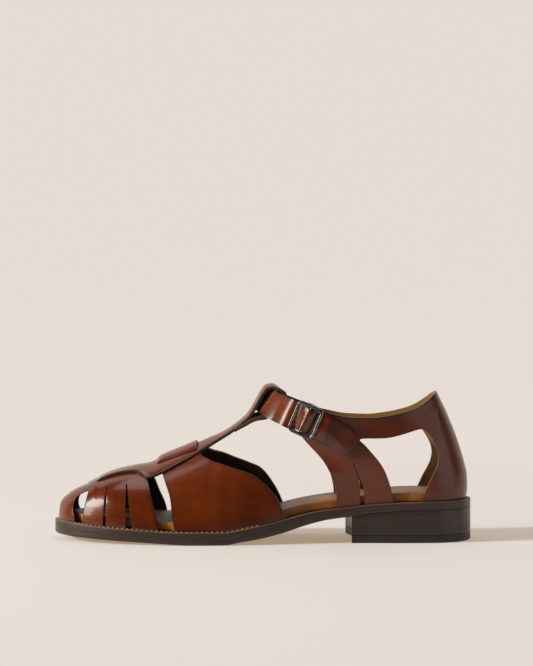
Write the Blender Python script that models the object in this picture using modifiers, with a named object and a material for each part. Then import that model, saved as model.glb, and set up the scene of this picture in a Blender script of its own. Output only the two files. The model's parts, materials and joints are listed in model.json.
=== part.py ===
# A left fisherman sandal with a T-bar: woven leather upper, leather sole, low stacked heel.
# Metres, +Z up. The toe points to -X and the outer side of the foot faces -Y.
# The origin is on the floor, under the middle of the shoe's box.
import math

import bmesh
import bpy
from mathutils import Vector

# Driving sizes
SOLE_LENGTH = 0.262
BALL_WIDTH = 0.0865
SOLE_THICKNESS = 0.0078
TOE_SPRING = 0.0036
HEEL_HEIGHT = 0.0208
TOP_PIECE_THICKNESS = 0.0048
INSOLE_THICKNESS = 0.0053
TOE_MARGIN = 0.0038
SIDE_MARGIN = 0.0055
HEEL_MARGIN = 0.0046
INSTEP_HEIGHT = 0.0978
COLLAR_HEIGHT = 0.0930
COLLAR_HALF_WIDTH = 0.0300
STRAP_LEATHER = 0.0018
QUARTER_LEATHER = 0.0020
ANKLE_STRAP_WIDTH = 0.0173
ANKLE_STRAP_LEATHER = 0.0018
BUCKLE_ACROSS = 0.0207
BUCKLE_ALONG = 0.0185
BUCKLE_WIRE = 0.0022
BUCKLE_CORNER = 0.0038
BUCKLE_BAR = 0.0018
PIN = 0.0012
PIN_HOLE = 0.0020
STRAP_PINCH = 0.0018
# Height of the buckle's bar over the strap's own middle line, with the strap's bulge over it
BAR_HEIGHT = 0.0019
BUCKLE_AT = 6.3
MEDIAL_END = 8.4
TIP_START = 9.0
# How square the strap's free end is: 2 is an ellipse
TIP_POWER = 3.0
# Stretch of its path over which the strap comes out from the instep onto the quarter
SEAT_FROM = 3.2
SEAT_OVER = 2.0

# Clearances and edge sizes
GAP = 0.0003
SOLE_EDGE_ROUND = 0.0016
SOLE_RIM_BEVEL = 0.0006
HEEL_EDGE_BEVEL = 0.0004
TOP_PIECE_ROUND = 0.0008
INSOLE_BEVEL = 0.0005
HEEL_BREAST_STATION = 0.700
HEEL_BREAST_HOLLOW = 0.0040
HEEL_BREAST_SHIFT = 0.0045
HEEL_BREAST_REACH = 1.35  # how far the curve passes its station, in hollows
CUTTER_REACH = 0.070
HEEL_ROUND = 2.7
# How close to its two ends the sole's first and last section stand, as a share of its length
END_SHARE = 0.0012

# How far each layer of the weave lies off the last
BAND_LIFT = 0.5 * STRAP_LEATHER
CENTRE_LIFT = BAND_LIFT + 0.7 * STRAP_LEATHER
PAD_LIFT = CENTRE_LIFT + 0.7 * STRAP_LEATHER


def table(columns, rows):
    return {name: [row[i] for row in rows] for i, name in enumerate(columns)}


def smooth(xs, ys, x):
    """Monotone cubic through the rows of a table, so that a flat stretch stays flat."""
    x = min(max(x, xs[0]), xs[-1])
    last = len(xs) - 2
    i = max(k for k in range(last + 1) if xs[k] <= x)
    secants = [(ys[k + 1] - ys[k]) / (xs[k + 1] - xs[k]) for k in range(last + 1)]

    def slope(k):
        if k == 0 or k == last + 1:
            return secants[min(k, last)]
        before, after = secants[k - 1], secants[k]
        if before * after <= 0:
            return 0.0
        return 2 * before * after / (before + after)

    width = xs[i + 1] - xs[i]
    t = (x - xs[i]) / width
    start = (1 + 2 * t) * (1 - t) ** 2 * ys[i] + t * (1 - t) ** 2 * width * slope(i)
    end = t * t * (3 - 2 * t) * ys[i + 1] + t * t * (t - 1) * width * slope(i + 1)
    return start + end


def value(rows, column, at, key="station"):
    return smooth(rows[key], rows[column], at)


def spread(share):
    """Stretches a share of a length near its ends, where a round outline is steep."""
    return math.acos(1 - 2 * min(max(share, 0.0), 1.0)) / math.pi


def place(share):
    return (share - 0.5) * SOLE_LENGTH


def share_of(x):
    return x / SOLE_LENGTH + 0.5


# The sole: widths as shares of the ball width, the rest as shares of the named heights
SOLE_PLAN = table(
    ("station", "lateral", "medial"),
    [
        (spread(0.000), -0.035, 0.035),
        (spread(0.015), 0.116, 0.173),
        (spread(0.050), 0.243, 0.301),
        (spread(0.100), 0.341, 0.387),
        (spread(0.150), 0.405, 0.439),
        (spread(0.200), 0.445, 0.474),
        (spread(0.270), 0.484, 0.498),
        (spread(0.300), 0.496, 0.500),
        (spread(0.335), 0.500, 0.493),
        (spread(0.420), 0.486, 0.439),
        (spread(0.500), 0.445, 0.364),
        (spread(0.580), 0.393, 0.306),
        (spread(0.660), 0.353, 0.289),
        (spread(0.740), 0.335, 0.306),
        (spread(0.820), 0.341, 0.329),
        (spread(0.900), 0.330, 0.329),
        (spread(0.950), 0.283, 0.286),
        (spread(0.985), 0.172, 0.175),
        (spread(1.000), 0.000, 0.000),
    ],
)
SOLE_SIDE = table(
    ("station", "toe_lift", "heel_lift", "thickness"),
    [
        (0.000, 1.00, 0.000, 1.12),
        (0.070, 0.80, 0.000, 1.08),
        (0.150, 0.55, 0.000, 1.01),
        (0.237, 0.30, 0.000, 0.97),
        (0.290, 0.10, 0.000, 0.98),
        (0.330, 0.00, 0.000, 1.00),
        (0.410, 0.00, 0.000, 1.00),
        (0.450, 0.00, 0.077, 1.00),
        (0.500, 0.00, 0.178, 1.06),
        (0.550, 0.00, 0.330, 1.05),
        (0.600, 0.00, 0.530, 0.94),
        (0.650, 0.00, 0.683, 0.82),
        (0.700, 0.00, 0.770, 0.77),
        (0.760, 0.00, 0.885, 0.70),
        (0.840, 0.00, 0.960, 0.64),
        (1.000, 0.00, 1.000, 0.64),
    ],
)

# The last over the foot: ridge height as a share of the instep height, and how square each section is
LAST_RIDGE = table(
    ("station", "height"),
    [
        (0.019, 0.222),
        (0.036, 0.272),
        (0.060, 0.311),
        (0.084, 0.337),
        (0.108, 0.370),
        (0.132, 0.394),
        (0.156, 0.414),
        (0.181, 0.429),
        (0.210, 0.443),
        (0.233, 0.456),
        (0.265, 0.494),
        (0.302, 0.534),
        (0.340, 0.577),
        (0.374, 0.613),
        (0.397, 0.640),
        (0.422, 0.676),
        (0.446, 0.725),
        (0.476, 0.805),
        (0.511, 0.900),
        (0.552, 0.990),
        (0.600, 1.020),
    ],
)
LAST_FORM = table(
    ("station", "power", "shift"),
    [
        (0.000, 2.20, 0.035),
        (0.120, 2.20, 0.025),
        (0.160, 2.05, 0.020),
        (0.215, 1.85, 0.018),
        (0.270, 1.70, 0.020),
        (0.330, 1.66, 0.022),
        (0.370, 1.70, 0.022),
        (0.410, 1.85, 0.015),
        (0.500, 1.80, 0.000),
        (0.600, 1.80, 0.000),
    ],
)

# Front and rear edge of each band: place along the sole at each angle round the last,
# from 0 at the outer feather line over 90 at the ridge to 180 at the inner one
FINGER_EDGES = table(
    ("angle", "front", "rear"),
    [
        (0, 0.076, 0.260),
        (15, 0.078, 0.252),
        (32, 0.082, 0.239),
        (52, 0.086, 0.228),
        (70, 0.084, 0.214),
        (90, 0.080, 0.208),
        (110, 0.084, 0.214),
        (128, 0.086, 0.231),
        (148, 0.082, 0.244),
        (165, 0.078, 0.259),
        (180, 0.076, 0.266),
    ],
)
VAMP_EDGES = table(
    ("angle", "front", "rear"),
    [
        (0, 0.297, 0.556),
        (11, 0.291, 0.536),
        (17, 0.288, 0.518),
        (24, 0.286, 0.494),
        (30, 0.283, 0.471),
        (41, 0.274, 0.424),
        (54, 0.264, 0.376),
        (66, 0.258, 0.351),
        (90, 0.250, 0.344),
        (115, 0.258, 0.372),
        (133, 0.270, 0.420),
        (147, 0.283, 0.469),
        (153, 0.286, 0.494),
        (161, 0.289, 0.518),
        (171, 0.293, 0.542),
        (180, 0.297, 0.558),
    ],
)

# The strap over the middle: its outer face from the toe to the T-bar's loop, and half its width
CENTRE_STRAP = table(
    ("station", "height", "half_width"),
    [
        (0.100, 0.388, 0.0105),
        (0.108, 0.412, 0.0112),
        (0.132, 0.434, 0.0114),
        (0.156, 0.453, 0.0117),
        (0.181, 0.468, 0.0122),
        (0.200, 0.478, 0.0135),
        (0.214, 0.482, 0.0180),
        (0.228, 0.488, 0.0214),
        (0.262, 0.529, 0.0208),
        (0.302, 0.573, 0.0180),
        (0.340, 0.612, 0.0148),
        (0.374, 0.652, 0.0122),
        (0.397, 0.678, 0.0106),
        (0.422, 0.716, 0.0097),
    ],
)
T_BAR = table(
    ("along", "x", "height"),
    [
        (0, 0.422, 0.716),
        (1, 0.446, 0.765),
        (2, 0.463, 0.808),
        (3, 0.476, 0.863),
        (4, 0.486, 0.910),
        (5, 0.496, 0.957),
        (6, 0.507, 0.990),
        (7, 0.522, 1.000),
        (8, 0.536, 0.982),
        (9, 0.541, 0.952),
        (10, 0.531, 0.920),
        (11, 0.518, 0.880),
        (12, 0.505, 0.832),
        (13, 0.492, 0.797),
        (14, 0.474, 0.783),
        (15, 0.452, 0.740),
        (16, 0.430, 0.706),
    ],
)
T_BAR_HALF_WIDTH = 0.0095
T_BAR_SAG = 0.0019
LOOP_INNER_SAG = 0.0008
# How much the strap's sides trail along the shoe for each part of their sag, outside and inside the loop
T_BAR_LEAN = 0.6
LOOP_INNER_LEAN = 1.1
# The way the ankle strap's outer face looks where it crosses the instep
INSTEP_OUTWARDS = Vector((-0.82, 0, 0.57))
# The fan of rays that shapes the toe strap: rise from the sole, and swing to each side
TOE_FAN_RISE = 82
TOE_FAN_SWING = 54
TOE_FAN_STATION = 0.125
PAD_STATIONS = (0.245, 0.342)
PAD_HALF_WIDTH = 0.0125

# Cut-outs seen from the side, as shares of the sole's length and of the height named beside each
TOE_HOLE = [
    (0.130, 0.00),
    (0.060, 0.00),
    (0.0545, 0.155),
    (0.0500, 0.185),
    (0.0485, 0.215),
    (0.0520, 0.255),
    (0.0620, 0.288),
    (0.0760, 0.308),
    (0.1000, 0.318),
    (0.1300, 0.318),
]
FINGER_SLITS = [
    [(0.1300, 0.345), (0.1330, 0.345), (0.1330, 0.0), (0.1230, 0.0)],
    [(0.1770, 0.365), (0.1800, 0.365), (0.2030, 0.0), (0.1820, 0.0)],
]
HEEL_WINDOW = [
    (0.811, 0.00),
    (0.808, 0.27),
    (0.803, 0.346),
    (0.799, 0.392),
    (0.787, 0.482),
    (0.775, 0.534),
    (0.763, 0.577),
    (0.752, 0.611),
    (0.740, 0.640),
    (0.727, 0.680),
    (0.733, 0.692),
    (0.775, 0.690),
    (0.799, 0.694),
    (0.823, 0.710),
    (0.846, 0.729),
    (0.869, 0.749),
    (0.879, 0.750),
    (0.889, 0.737),
    (0.903, 0.675),
    (0.912, 0.625),
    (0.916, 0.572),
    (0.914, 0.522),
    (0.907, 0.470),
    (0.895, 0.410),
    (0.885, 0.350),
    (0.877, 0.300),
    (0.874, 0.260),
    (0.872, 0.00),
]
LEG_SLIT = [
    (0.7095, 0.545),
    (0.7165, 0.501),
    (0.7240, 0.452),
    (0.7275, 0.405),
    (0.7295, 0.353),
    (0.7300, 0.00),
    (0.7420, 0.00),
    (0.7400, 0.353),
    (0.7345, 0.392),
    (0.7290, 0.430),
    (0.7225, 0.478),
    (0.7150, 0.522),
]

# The back of the upper. Front edge: place along the sole at each share of the wall's height
QUARTER_FRONT = table(
    ("rise", "x"),
    [
        (0.00, 0.675),
        (0.14, 0.674),
        (0.24, 0.670),
        (0.34, 0.663),
        (0.42, 0.654),
        (0.50, 0.642),
        (0.57, 0.627),
        (0.63, 0.612),
        (0.68, 0.600),
        (0.74, 0.588),
        (0.82, 0.582),
        (0.92, 0.584),
        (1.00, 0.594),
    ],
)
# Back edge of the wall, how far its outline has gone from the sole's to the collar's, and how much
# its front end turns in towards the instep
QUARTER_BACK = table(
    ("rise", "x", "to_collar", "front_taper"),
    [
        (0.00, 0.9900, 0.00, 0.00),
        (0.10, 0.9925, 0.05, 0.00),
        (0.21, 0.9915, 0.16, 0.00),
        (0.36, 0.9830, 0.36, 0.00),
        (0.45, 0.9760, 0.48, 0.03),
        (0.59, 0.9640, 0.64, 0.10),
        (0.71, 0.9520, 0.77, 0.17),
        (0.82, 0.9400, 0.87, 0.22),
        (0.92, 0.9275, 0.95, 0.25),
        (1.00, 0.9180, 1.00, 0.26),
    ],
)
COLLAR_LINE = table(
    ("station", "height"),
    [
        (0.560, 0.925),
        (0.610, 0.893),
        (0.657, 0.857),
        (0.705, 0.832),
        (0.752, 0.828),
        (0.798, 0.843),
        (0.843, 0.874),
        (0.868, 0.905),
        (0.890, 0.950),
        (0.915, 1.000),
        (1.000, 1.000),
    ],
)

# The ankle strap on one side: from the instep, round the ankle, to its free tip
ANKLE_PATH = table(
    ("along", "x", "side", "height"),
    [
        (0, 0.5020, 0.000, 0.900),
        (1, 0.5060, 0.170, 0.893),
        (2, 0.5168, 0.317, 0.873),
        (3, 0.5336, 0.500, 0.849),
        (4, 0.5534, 0.685, 0.825),
        (5, 0.5744, 0.825, 0.801),
        (6, 0.5992, 0.900, 0.779),
        (7, 0.6221, 0.940, 0.750),
        (8, 0.6527, 0.960, 0.706),
        (9, 0.6832, 0.970, 0.660),
        (10, 0.7140, 0.970, 0.614),
    ],
)


def clear_scene():
    for obj in list(bpy.data.objects):
        bpy.data.objects.remove(obj, do_unlink=True)


def collection(name):
    found = bpy.data.collections.new(name)
    bpy.context.scene.collection.children.link(found)
    return found


def material(name, colour, roughness, metallic=0.0):
    made = bpy.data.materials.new(name)
    made.use_nodes = True
    shader = made.node_tree.nodes["Principled BSDF"]
    shader.inputs["Base Color"].default_value = (*colour, 1)
    shader.inputs["Roughness"].default_value = roughness
    shader.inputs["Metallic"].default_value = metallic
    return made


def add_mesh(name, bm, where):
    mesh = bpy.data.meshes.new(name)
    bmesh.ops.recalc_face_normals(bm, faces=bm.faces)
    bm.to_mesh(mesh)
    bm.free()
    obj = bpy.data.objects.new(name, mesh)
    where.objects.link(obj)
    return obj


def apply_modifiers(obj):
    graph = bpy.context.evaluated_depsgraph_get()
    mesh = bpy.data.meshes.new_from_object(obj.evaluated_get(graph))
    obj.modifiers.clear()
    obj.data = mesh


def join_solid(obj, other, operation):
    """Adds or cuts another solid and keeps the result as plain mesh."""
    boolean = obj.modifiers.new(operation.title(), "BOOLEAN")
    boolean.operation = operation
    boolean.object = other
    bpy.context.view_layer.update()
    apply_modifiers(obj)


def loft(name, loops, where):
    """A closed solid through loops of equally many points."""
    bm = bmesh.new()
    rings = [[bm.verts.new(point) for point in loop] for loop in loops]
    count = len(rings[0])
    for near, far in zip(rings, rings[1:]):
        for i in range(count):
            j = (i + 1) % count
            bm.faces.new((near[i], near[j], far[j], far[i]))
    bm.faces.new(rings[0])
    bm.faces.new(reversed(rings[-1]))
    return add_mesh(name, bm, where)


def sheet(name, grid, thickness, offset, where):
    """Leather: an open surface of rows of points, thickened to one side. Offset 1 is outwards."""
    bm = bmesh.new()
    rows = [[bm.verts.new(point) for point in row] for row in grid]
    for near, far in zip(rows, rows[1:]):
        for i in range(len(near) - 1):
            bm.faces.new((near[i], near[i + 1], far[i + 1], far[i]))
    mesh = bpy.data.meshes.new(name)
    bm.to_mesh(mesh)
    bm.free()
    obj = bpy.data.objects.new(name, mesh)
    where.objects.link(obj)
    solidify = obj.modifiers.new("Leather", "SOLIDIFY")
    solidify.thickness = thickness
    solidify.offset = offset
    solidify.use_even_offset = True
    bpy.context.view_layer.update()
    apply_modifiers(obj)
    return obj


def prism(name, outline, height, where):
    """A cutter: an outline in side view, run across the whole shoe."""
    points = [Vector((place(x), 0, z * height)) for x, z in outline]
    loops = [[p + Vector((0, side * CUTTER_REACH, 0)) for p in points] for side in (-1, 1)]
    obj = loft(name, loops, where)
    obj.hide_render = True
    obj.display_type = "WIRE"
    return obj


def sole_side(share, column):
    return value(SOLE_SIDE, column, share)


def sole_bottom(share):
    return TOE_SPRING * sole_side(share, "toe_lift") + HEEL_HEIGHT * sole_side(share, "heel_lift")


def sole_top(share):
    return sole_bottom(share) + SOLE_THICKNESS * sole_side(share, "thickness")


def sole_half(share, side):
    return BALL_WIDTH * value(SOLE_PLAN, side, spread(share))


def last_half(share, side, inset=0.0):
    """Half width of the last at the feather line: the sole's outline, drawn in by the margins."""
    start = (TOE_MARGIN + inset) / SOLE_LENGTH
    end = 1 - (HEEL_MARGIN + inset) / SOLE_LENGTH
    inside = (share - start) / (end - start)
    return sole_half(inside, side) * (1 - 2 * (SIDE_MARGIN + inset) / BALL_WIDTH)


def last_plan(share):
    """Middle and half width of the last at the feather line."""
    lateral, medial = last_half(share, "lateral"), last_half(share, "medial")
    return (medial - lateral) / 2, (medial + lateral) / 2


def ridge_y(share):
    return BALL_WIDTH * value(LAST_FORM, "shift", share)


def ridge(share):
    tip = TOE_MARGIN / SOLE_LENGTH
    low = sole_top(tip) + GAP
    shares = [spread(tip)] + [spread(s) for s in LAST_RIDGE["station"]]
    heights = [low] + [INSTEP_HEIGHT * h for h in LAST_RIDGE["height"]]
    return smooth(shares, heights, spread(share))


def last_point(share, angle, lift=0.0):
    """A point of the last at an angle round its section, lifted off it by the layers below."""
    power = value(LAST_FORM, "power", share)
    turn = math.radians(angle)
    across = math.copysign(abs(math.cos(turn)) ** (2 / power), -math.cos(turn))
    rise = math.sin(turn) ** (2 / power)
    base = sole_top(share) + GAP
    middle, half = last_plan(share)
    y = middle * (1 - rise) + ridge_y(share) * rise + (half + lift) * across
    return Vector((place(share), y, base + (ridge(share) + lift - base) * rise))


def height_at(share, y, lift):
    """Height of the lifted section at a distance across the shoe."""
    power = value(LAST_FORM, "power", share)
    middle, half = last_plan(share)
    rise = 1.0
    for _ in range(12):
        across = abs(y - middle * (1 - rise) - ridge_y(share) * rise) / (half + lift)
        rise = (1 - min(across, 0.98) ** power) ** (1 / power)
    base = sole_top(share) + GAP
    return base + (ridge(share) + lift - base) * rise


def sole_loop(share, low, high, low_bevel, high_bevel):
    """One section of a flat piece of the sole, with its edges bevelled."""
    lateral = -sole_half(share, "lateral")
    medial = sole_half(share, "medial")
    room = 0.3 * (medial - lateral)
    under = min(low_bevel, room)
    over = min(high_bevel, room)
    x = place(share)
    return [
        Vector((x, lateral + under, low)),
        Vector((x, lateral + 0.3 * under, low + 0.3 * low_bevel)),
        Vector((x, lateral, low + low_bevel)),
        Vector((x, lateral, high - high_bevel)),
        Vector((x, lateral + over, high)),
        Vector((x, medial - over, high)),
        Vector((x, medial, high - high_bevel)),
        Vector((x, medial, low + low_bevel)),
        Vector((x, medial - 0.3 * under, low + 0.3 * low_bevel)),
        Vector((x, medial - under, low)),
    ]


def round_shares(start, end, count):
    """Shares of the sole's length, closer together near its two ends."""
    first, last = spread(start), spread(end)
    steps = [first + (last - first) * i / count for i in range(count + 1)]
    return [(1 - math.cos(math.pi * step)) / 2 for step in steps]


def make_outsole(parts, looks):
    loops = []
    for share in round_shares(END_SHARE, 1 - END_SHARE, 44):
        low, high = sole_bottom(share), sole_top(share)
        loops.append(sole_loop(share, low, high, SOLE_EDGE_ROUND, SOLE_RIM_BEVEL))
    outsole = loft("outsole", loops, parts)
    outsole.data.materials.append(looks["sole"])


def make_heel(parts, cutters, looks):
    start = HEEL_BREAST_STATION - 2 * HEEL_BREAST_HOLLOW / SOLE_LENGTH
    shares = round_shares(start, 1 - END_SHARE, 20)
    block = []
    lift = []
    for share in shares:
        top = sole_bottom(share) - GAP
        low = TOP_PIECE_THICKNESS + GAP
        block.append(sole_loop(share, low, top, HEEL_EDGE_BEVEL, HEEL_EDGE_BEVEL))
        lift.append(sole_loop(share, 0.0, TOP_PIECE_THICKNESS, TOP_PIECE_ROUND, HEEL_EDGE_BEVEL))
    half = BALL_WIDTH / 3
    radius = (half**2 + HEEL_BREAST_HOLLOW**2) / (2 * HEEL_BREAST_HOLLOW)
    middle = place(HEEL_BREAST_STATION) + HEEL_BREAST_REACH * HEEL_BREAST_HOLLOW - radius
    bpy.ops.mesh.primitive_cylinder_add(
        vertices=96, radius=radius, depth=2 * CUTTER_REACH, location=(middle, -HEEL_BREAST_SHIFT, 0)
    )
    breast = bpy.context.object
    breast.name = "breast_cutter"
    breast.users_collection[0].objects.unlink(breast)
    cutters.objects.link(breast)
    breast.hide_render = True
    breast.display_type = "WIRE"
    for name, loops, look in (("heel_block", block, "sole"), ("top_piece", lift, "rubber")):
        piece = loft(name, loops, parts)
        join_solid(piece, breast, "DIFFERENCE")
        piece.data.materials.clear()
        piece.data.materials.append(looks[look])


def make_insole(parts, looks):
    loops = []
    inset = 2 * GAP
    tip = (TOE_MARGIN + 3 * INSOLE_THICKNESS / 4) / SOLE_LENGTH
    tail = 1 - (HEEL_MARGIN + QUARTER_LEATHER) / SOLE_LENGTH
    for share in round_shares(tip + END_SHARE / 6, tail - END_SHARE / 6, 36):
        inside = (share - tip) / (tail - tip)
        scale = 1 - 2 * (SIDE_MARGIN + inset) / BALL_WIDTH
        halves = {}
        for side in ("lateral", "medial"):
            halves[side] = min(sole_half(inside, side) * scale, last_half(share, side) - inset)
        lateral, medial = -halves["lateral"], halves["medial"]
        low = sole_top(share) + GAP
        high = low + INSOLE_THICKNESS
        bevel = min(INSOLE_BEVEL, 0.2 * (medial - lateral))
        x = place(share)
        loops.append(
            [
                Vector((x, lateral, low)),
                Vector((x, lateral, high - bevel)),
                Vector((x, lateral + bevel, high)),
                Vector((x, medial - bevel, high)),
                Vector((x, medial, high - bevel)),
                Vector((x, medial, low)),
            ]
        )
    insole = loft("insole", loops, parts)
    insole.data.materials.append(looks["insole"])


def band(name, edges, lift, along, around, where):
    """A strap across the last between its front and its rear edge."""
    grid = []
    for i in range(around + 1):
        angle = 180 * i / around
        front = value(edges, "front", angle, "angle")
        rear = value(edges, "rear", angle, "angle")
        grid.append([last_point(front + (rear - front) * j / along, angle, lift) for j in range(along + 1)])
    return sheet(name, grid, STRAP_LEATHER, 1, where)


def inside_last(point):
    share = share_of(point.x)
    if share <= TOE_MARGIN / SOLE_LENGTH:
        return False
    power = value(LAST_FORM, "power", share)
    base = sole_top(share) + GAP
    rise = max(point.z - base, 0.0) / (ridge(share) - base)
    middle, half = last_plan(share)
    across = abs(point.y - middle * (1 - rise) - ridge_y(share) * rise) / half
    return across**power + rise**power < 1


def cast(start, direction):
    """The point where a ray from inside the last leaves it."""
    near, far = 0.0, SOLE_LENGTH / 3
    for _ in range(24):
        middle = (near + far) / 2
        if inside_last(start + direction * middle):
            near = middle
        else:
            far = middle
    return start + direction * near


def make_toe(where, cutters):
    """The toe strap: a cap over the tip of the last, with a hole cut on each side."""
    start = Vector((place(TOE_FAN_STATION), BALL_WIDTH * value(LAST_FORM, "shift", 0), 0))
    start.z = sole_top(TOE_MARGIN / SOLE_LENGTH) + GAP
    grid = []
    for i in range(13):
        lift = math.radians(TOE_FAN_RISE * i / 12)
        row = []
        for j in range(15):
            side = math.tan(math.radians(TOE_FAN_SWING) * (2 * j / 14 - 1)) * (1 - 0.5 * i / 12)
            direction = Vector((-math.cos(lift), side, math.sin(lift))).normalized()
            row.append(cast(start, direction))
        grid.append(row)
    cap = sheet("toe_strap", list(reversed(grid)), STRAP_LEATHER, 1, where)
    hole = prism("toe_hole_cutter", TOE_HOLE, INSTEP_HEIGHT, cutters)
    join_solid(cap, hole, "DIFFERENCE")
    return cap


def centre_row(share, count):
    half = value(CENTRE_STRAP, "half_width", share)
    lift = INSTEP_HEIGHT * value(CENTRE_STRAP, "height", share) - ridge(share)
    row = []
    for j in range(count + 1):
        y = ridge_y(share) + half * (2 * j / count - 1)
        row.append(Vector((place(share), y, height_at(share, y, lift))))
    return row


def make_centre(where):
    """The strap over the middle and the T-bar, whose end turns back into a loop."""
    count = 6
    first, last = CENTRE_STRAP["station"][0], CENTRE_STRAP["station"][-1]
    grid = [centre_row(first + (last - first) * i / 24, count) for i in range(24)]
    start = centre_row(last, count)
    start_sag = start[count // 2].z - start[0].z
    for i in range(31):
        at = 16 * i / 30
        x = place(value(T_BAR, "x", at, "along"))
        z = INSTEP_HEIGHT * value(T_BAR, "height", at, "along")
        shift = ridge_y(value(T_BAR, "x", min(at, 6), "along"))
        sag = T_BAR_SAG + (start_sag - T_BAR_SAG) * max(0.0, 1 - at / 3)
        inner = smooth([0, 7, 9, 13, 15.5, 16], [0, 0, 1, 1, 0, 0], at)
        sag += LOOP_INNER_SAG * inner
        row = []
        for j in range(count + 1):
            w = 2 * j / count - 1
            lean = T_BAR_LEAN * min(at / 3, 1.0) + LOOP_INNER_LEAN * inner
            row.append(Vector((x + lean * sag * w * w, shift + T_BAR_HALF_WIDTH * w, z - sag * w * w)))
        grid.append(row)
    return sheet("centre_strap", list(reversed(grid)), STRAP_LEATHER, -1, where)


def make_pad(where):
    """Where the vamp comes up through the middle strap and lies over it."""
    first, last = PAD_STATIONS
    grid = []
    for i in range(7):
        share = first + (last - first) * i / 6
        row = []
        for j in range(7):
            y = ridge_y(share) + PAD_HALF_WIDTH * (2 * j / 6 - 1)
            row.append(Vector((place(share), y, height_at(share, y, PAD_LIFT + STRAP_LEATHER))))
        grid.append(row)
    return sheet("pad", list(reversed(grid)), STRAP_LEATHER, -1, where)


def make_upper_front(parts, cutters, looks):
    upper = band("upper_front", VAMP_EDGES, BAND_LIFT, 9, 30, parts)
    fingers = band("finger_band", FINGER_EDGES, BAND_LIFT, 9, 30, cutters)
    for number, outline in enumerate(FINGER_SLITS):
        slit = prism(f"finger_slit_cutter_{number}", outline, INSTEP_HEIGHT, cutters)
        join_solid(fingers, slit, "DIFFERENCE")
    pieces = [make_centre(cutters), fingers, make_toe(cutters, cutters), make_pad(cutters)]
    for piece in pieces:
        piece.hide_render = True
        piece.display_type = "WIRE"
        join_solid(upper, piece, "UNION")
    upper.data.materials.clear()
    upper.data.materials.append(looks["leather"])


def quarter_point(around, rise):
    """A point of the back of the upper. Around runs from -1 at the outer front edge over 0 at the
    heel to 1 at the inner one, and rise from 0 at the sole to 1 at the collar."""
    front = place(value(QUARTER_FRONT, "x", rise, "rise"))
    back = place(value(QUARTER_BACK, "x", rise, "rise")) - QUARTER_LEATHER
    tail = SOLE_LENGTH / 2 - HEEL_MARGIN
    turn = math.radians(90 * (1 - abs(around)))
    along = math.sin(turn) ** (2 / HEEL_ROUND)
    width = math.cos(turn) ** (2 / HEEL_ROUND)
    x = front + (back - front) * along
    low = last_half(share_of(front + (tail - front) * along), "lateral" if around < 0 else "medial")
    high = (COLLAR_HALF_WIDTH - QUARTER_LEATHER) * width
    half = low + (high - low) * value(QUARTER_BACK, "to_collar", rise, "rise")
    taper = value(QUARTER_BACK, "front_taper", rise, "rise")
    half *= 1 - taper * max(0.0, 1 - along / 0.25) ** 2
    base = sole_top(share_of(x)) + GAP
    top = COLLAR_HEIGHT * value(COLLAR_LINE, "height", share_of(x))
    return Vector((x, math.copysign(half, around), base + (top - base) * rise))


def make_upper_quarter(parts, cutters, looks):
    grid = []
    for i in range(15):
        grid.append([quarter_point(j / 22 - 1, i / 14) for j in range(45)])
    quarter = sheet("upper_quarter", grid, QUARTER_LEATHER, 1, parts)
    for name, outline in (("heel_window_cutter", HEEL_WINDOW), ("leg_slit_cutter", LEG_SLIT)):
        join_solid(quarter, prism(name, outline, COLLAR_HEIGHT, cutters), "DIFFERENCE")
    quarter.data.materials.clear()
    quarter.data.materials.append(looks["leather"])


def quarter_half(x, z, side):
    """Half width to the inner face of the quarter at a place seen from the side."""
    base = sole_top(share_of(x)) + GAP
    top = COLLAR_HEIGHT * value(COLLAR_LINE, "height", share_of(x))
    rise = min(max((z - base) / (top - base), 0.0), 1.0)
    front = place(value(QUARTER_FRONT, "x", rise, "rise"))
    back = place(value(QUARTER_BACK, "x", rise, "rise"))
    along = min(max((x - front) / (back - front), 0.0), 1.0)
    turn = math.degrees(math.asin(along ** (HEEL_ROUND / 2)))
    return abs(quarter_point(side * (1 - turn / 90), rise).y)


def over_quarter(x, z, side, lift):
    """Half width at a distance off the outer face of the quarter, square to the wall."""
    step = 0.002
    here = quarter_half(x, z, side)
    slope = (quarter_half(x + step, z, side) - here) / step
    return here + (QUARTER_LEATHER + lift) * math.hypot(1, slope)


def ankle_centre(at, side):
    """Middle line of the ankle strap, at a place along its path on one side of the shoe."""
    x = place(value(ANKLE_PATH, "x", at, "along"))
    z = INSTEP_HEIGHT * value(ANKLE_PATH, "height", at, "along")
    y = COLLAR_HALF_WIDTH * value(ANKLE_PATH, "side", at, "along")
    return Vector((x, side * y, z))


def ankle_point(at, side, w):
    """A point of the ankle strap before it bulges over the buckle's bar."""
    step = 0.05
    tangent = ankle_centre(at + step, side) - ankle_centre(max(at - step, 0.0), side)
    turned = min(value(ANKLE_PATH, "side", at, "along") / 0.9, 1.0)
    outwards = INSTEP_OUTWARDS.lerp(Vector((0, side, 0)), turned)
    across = tangent.cross(outwards).normalized()
    if across.z < 0:
        across.negate()
    point = ankle_centre(at, side) + across * w
    if at > SEAT_FROM:
        seat = over_quarter(point.x, point.z, side, GAP + ANKLE_STRAP_LEATHER / 2)
        share = min((at - SEAT_FROM) / SEAT_OVER, 1.0)
        reach = abs(point.y)
        point.y = side * (reach + max(seat - reach, 0.0) * share * share * (3 - 2 * share))
    return point


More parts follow.
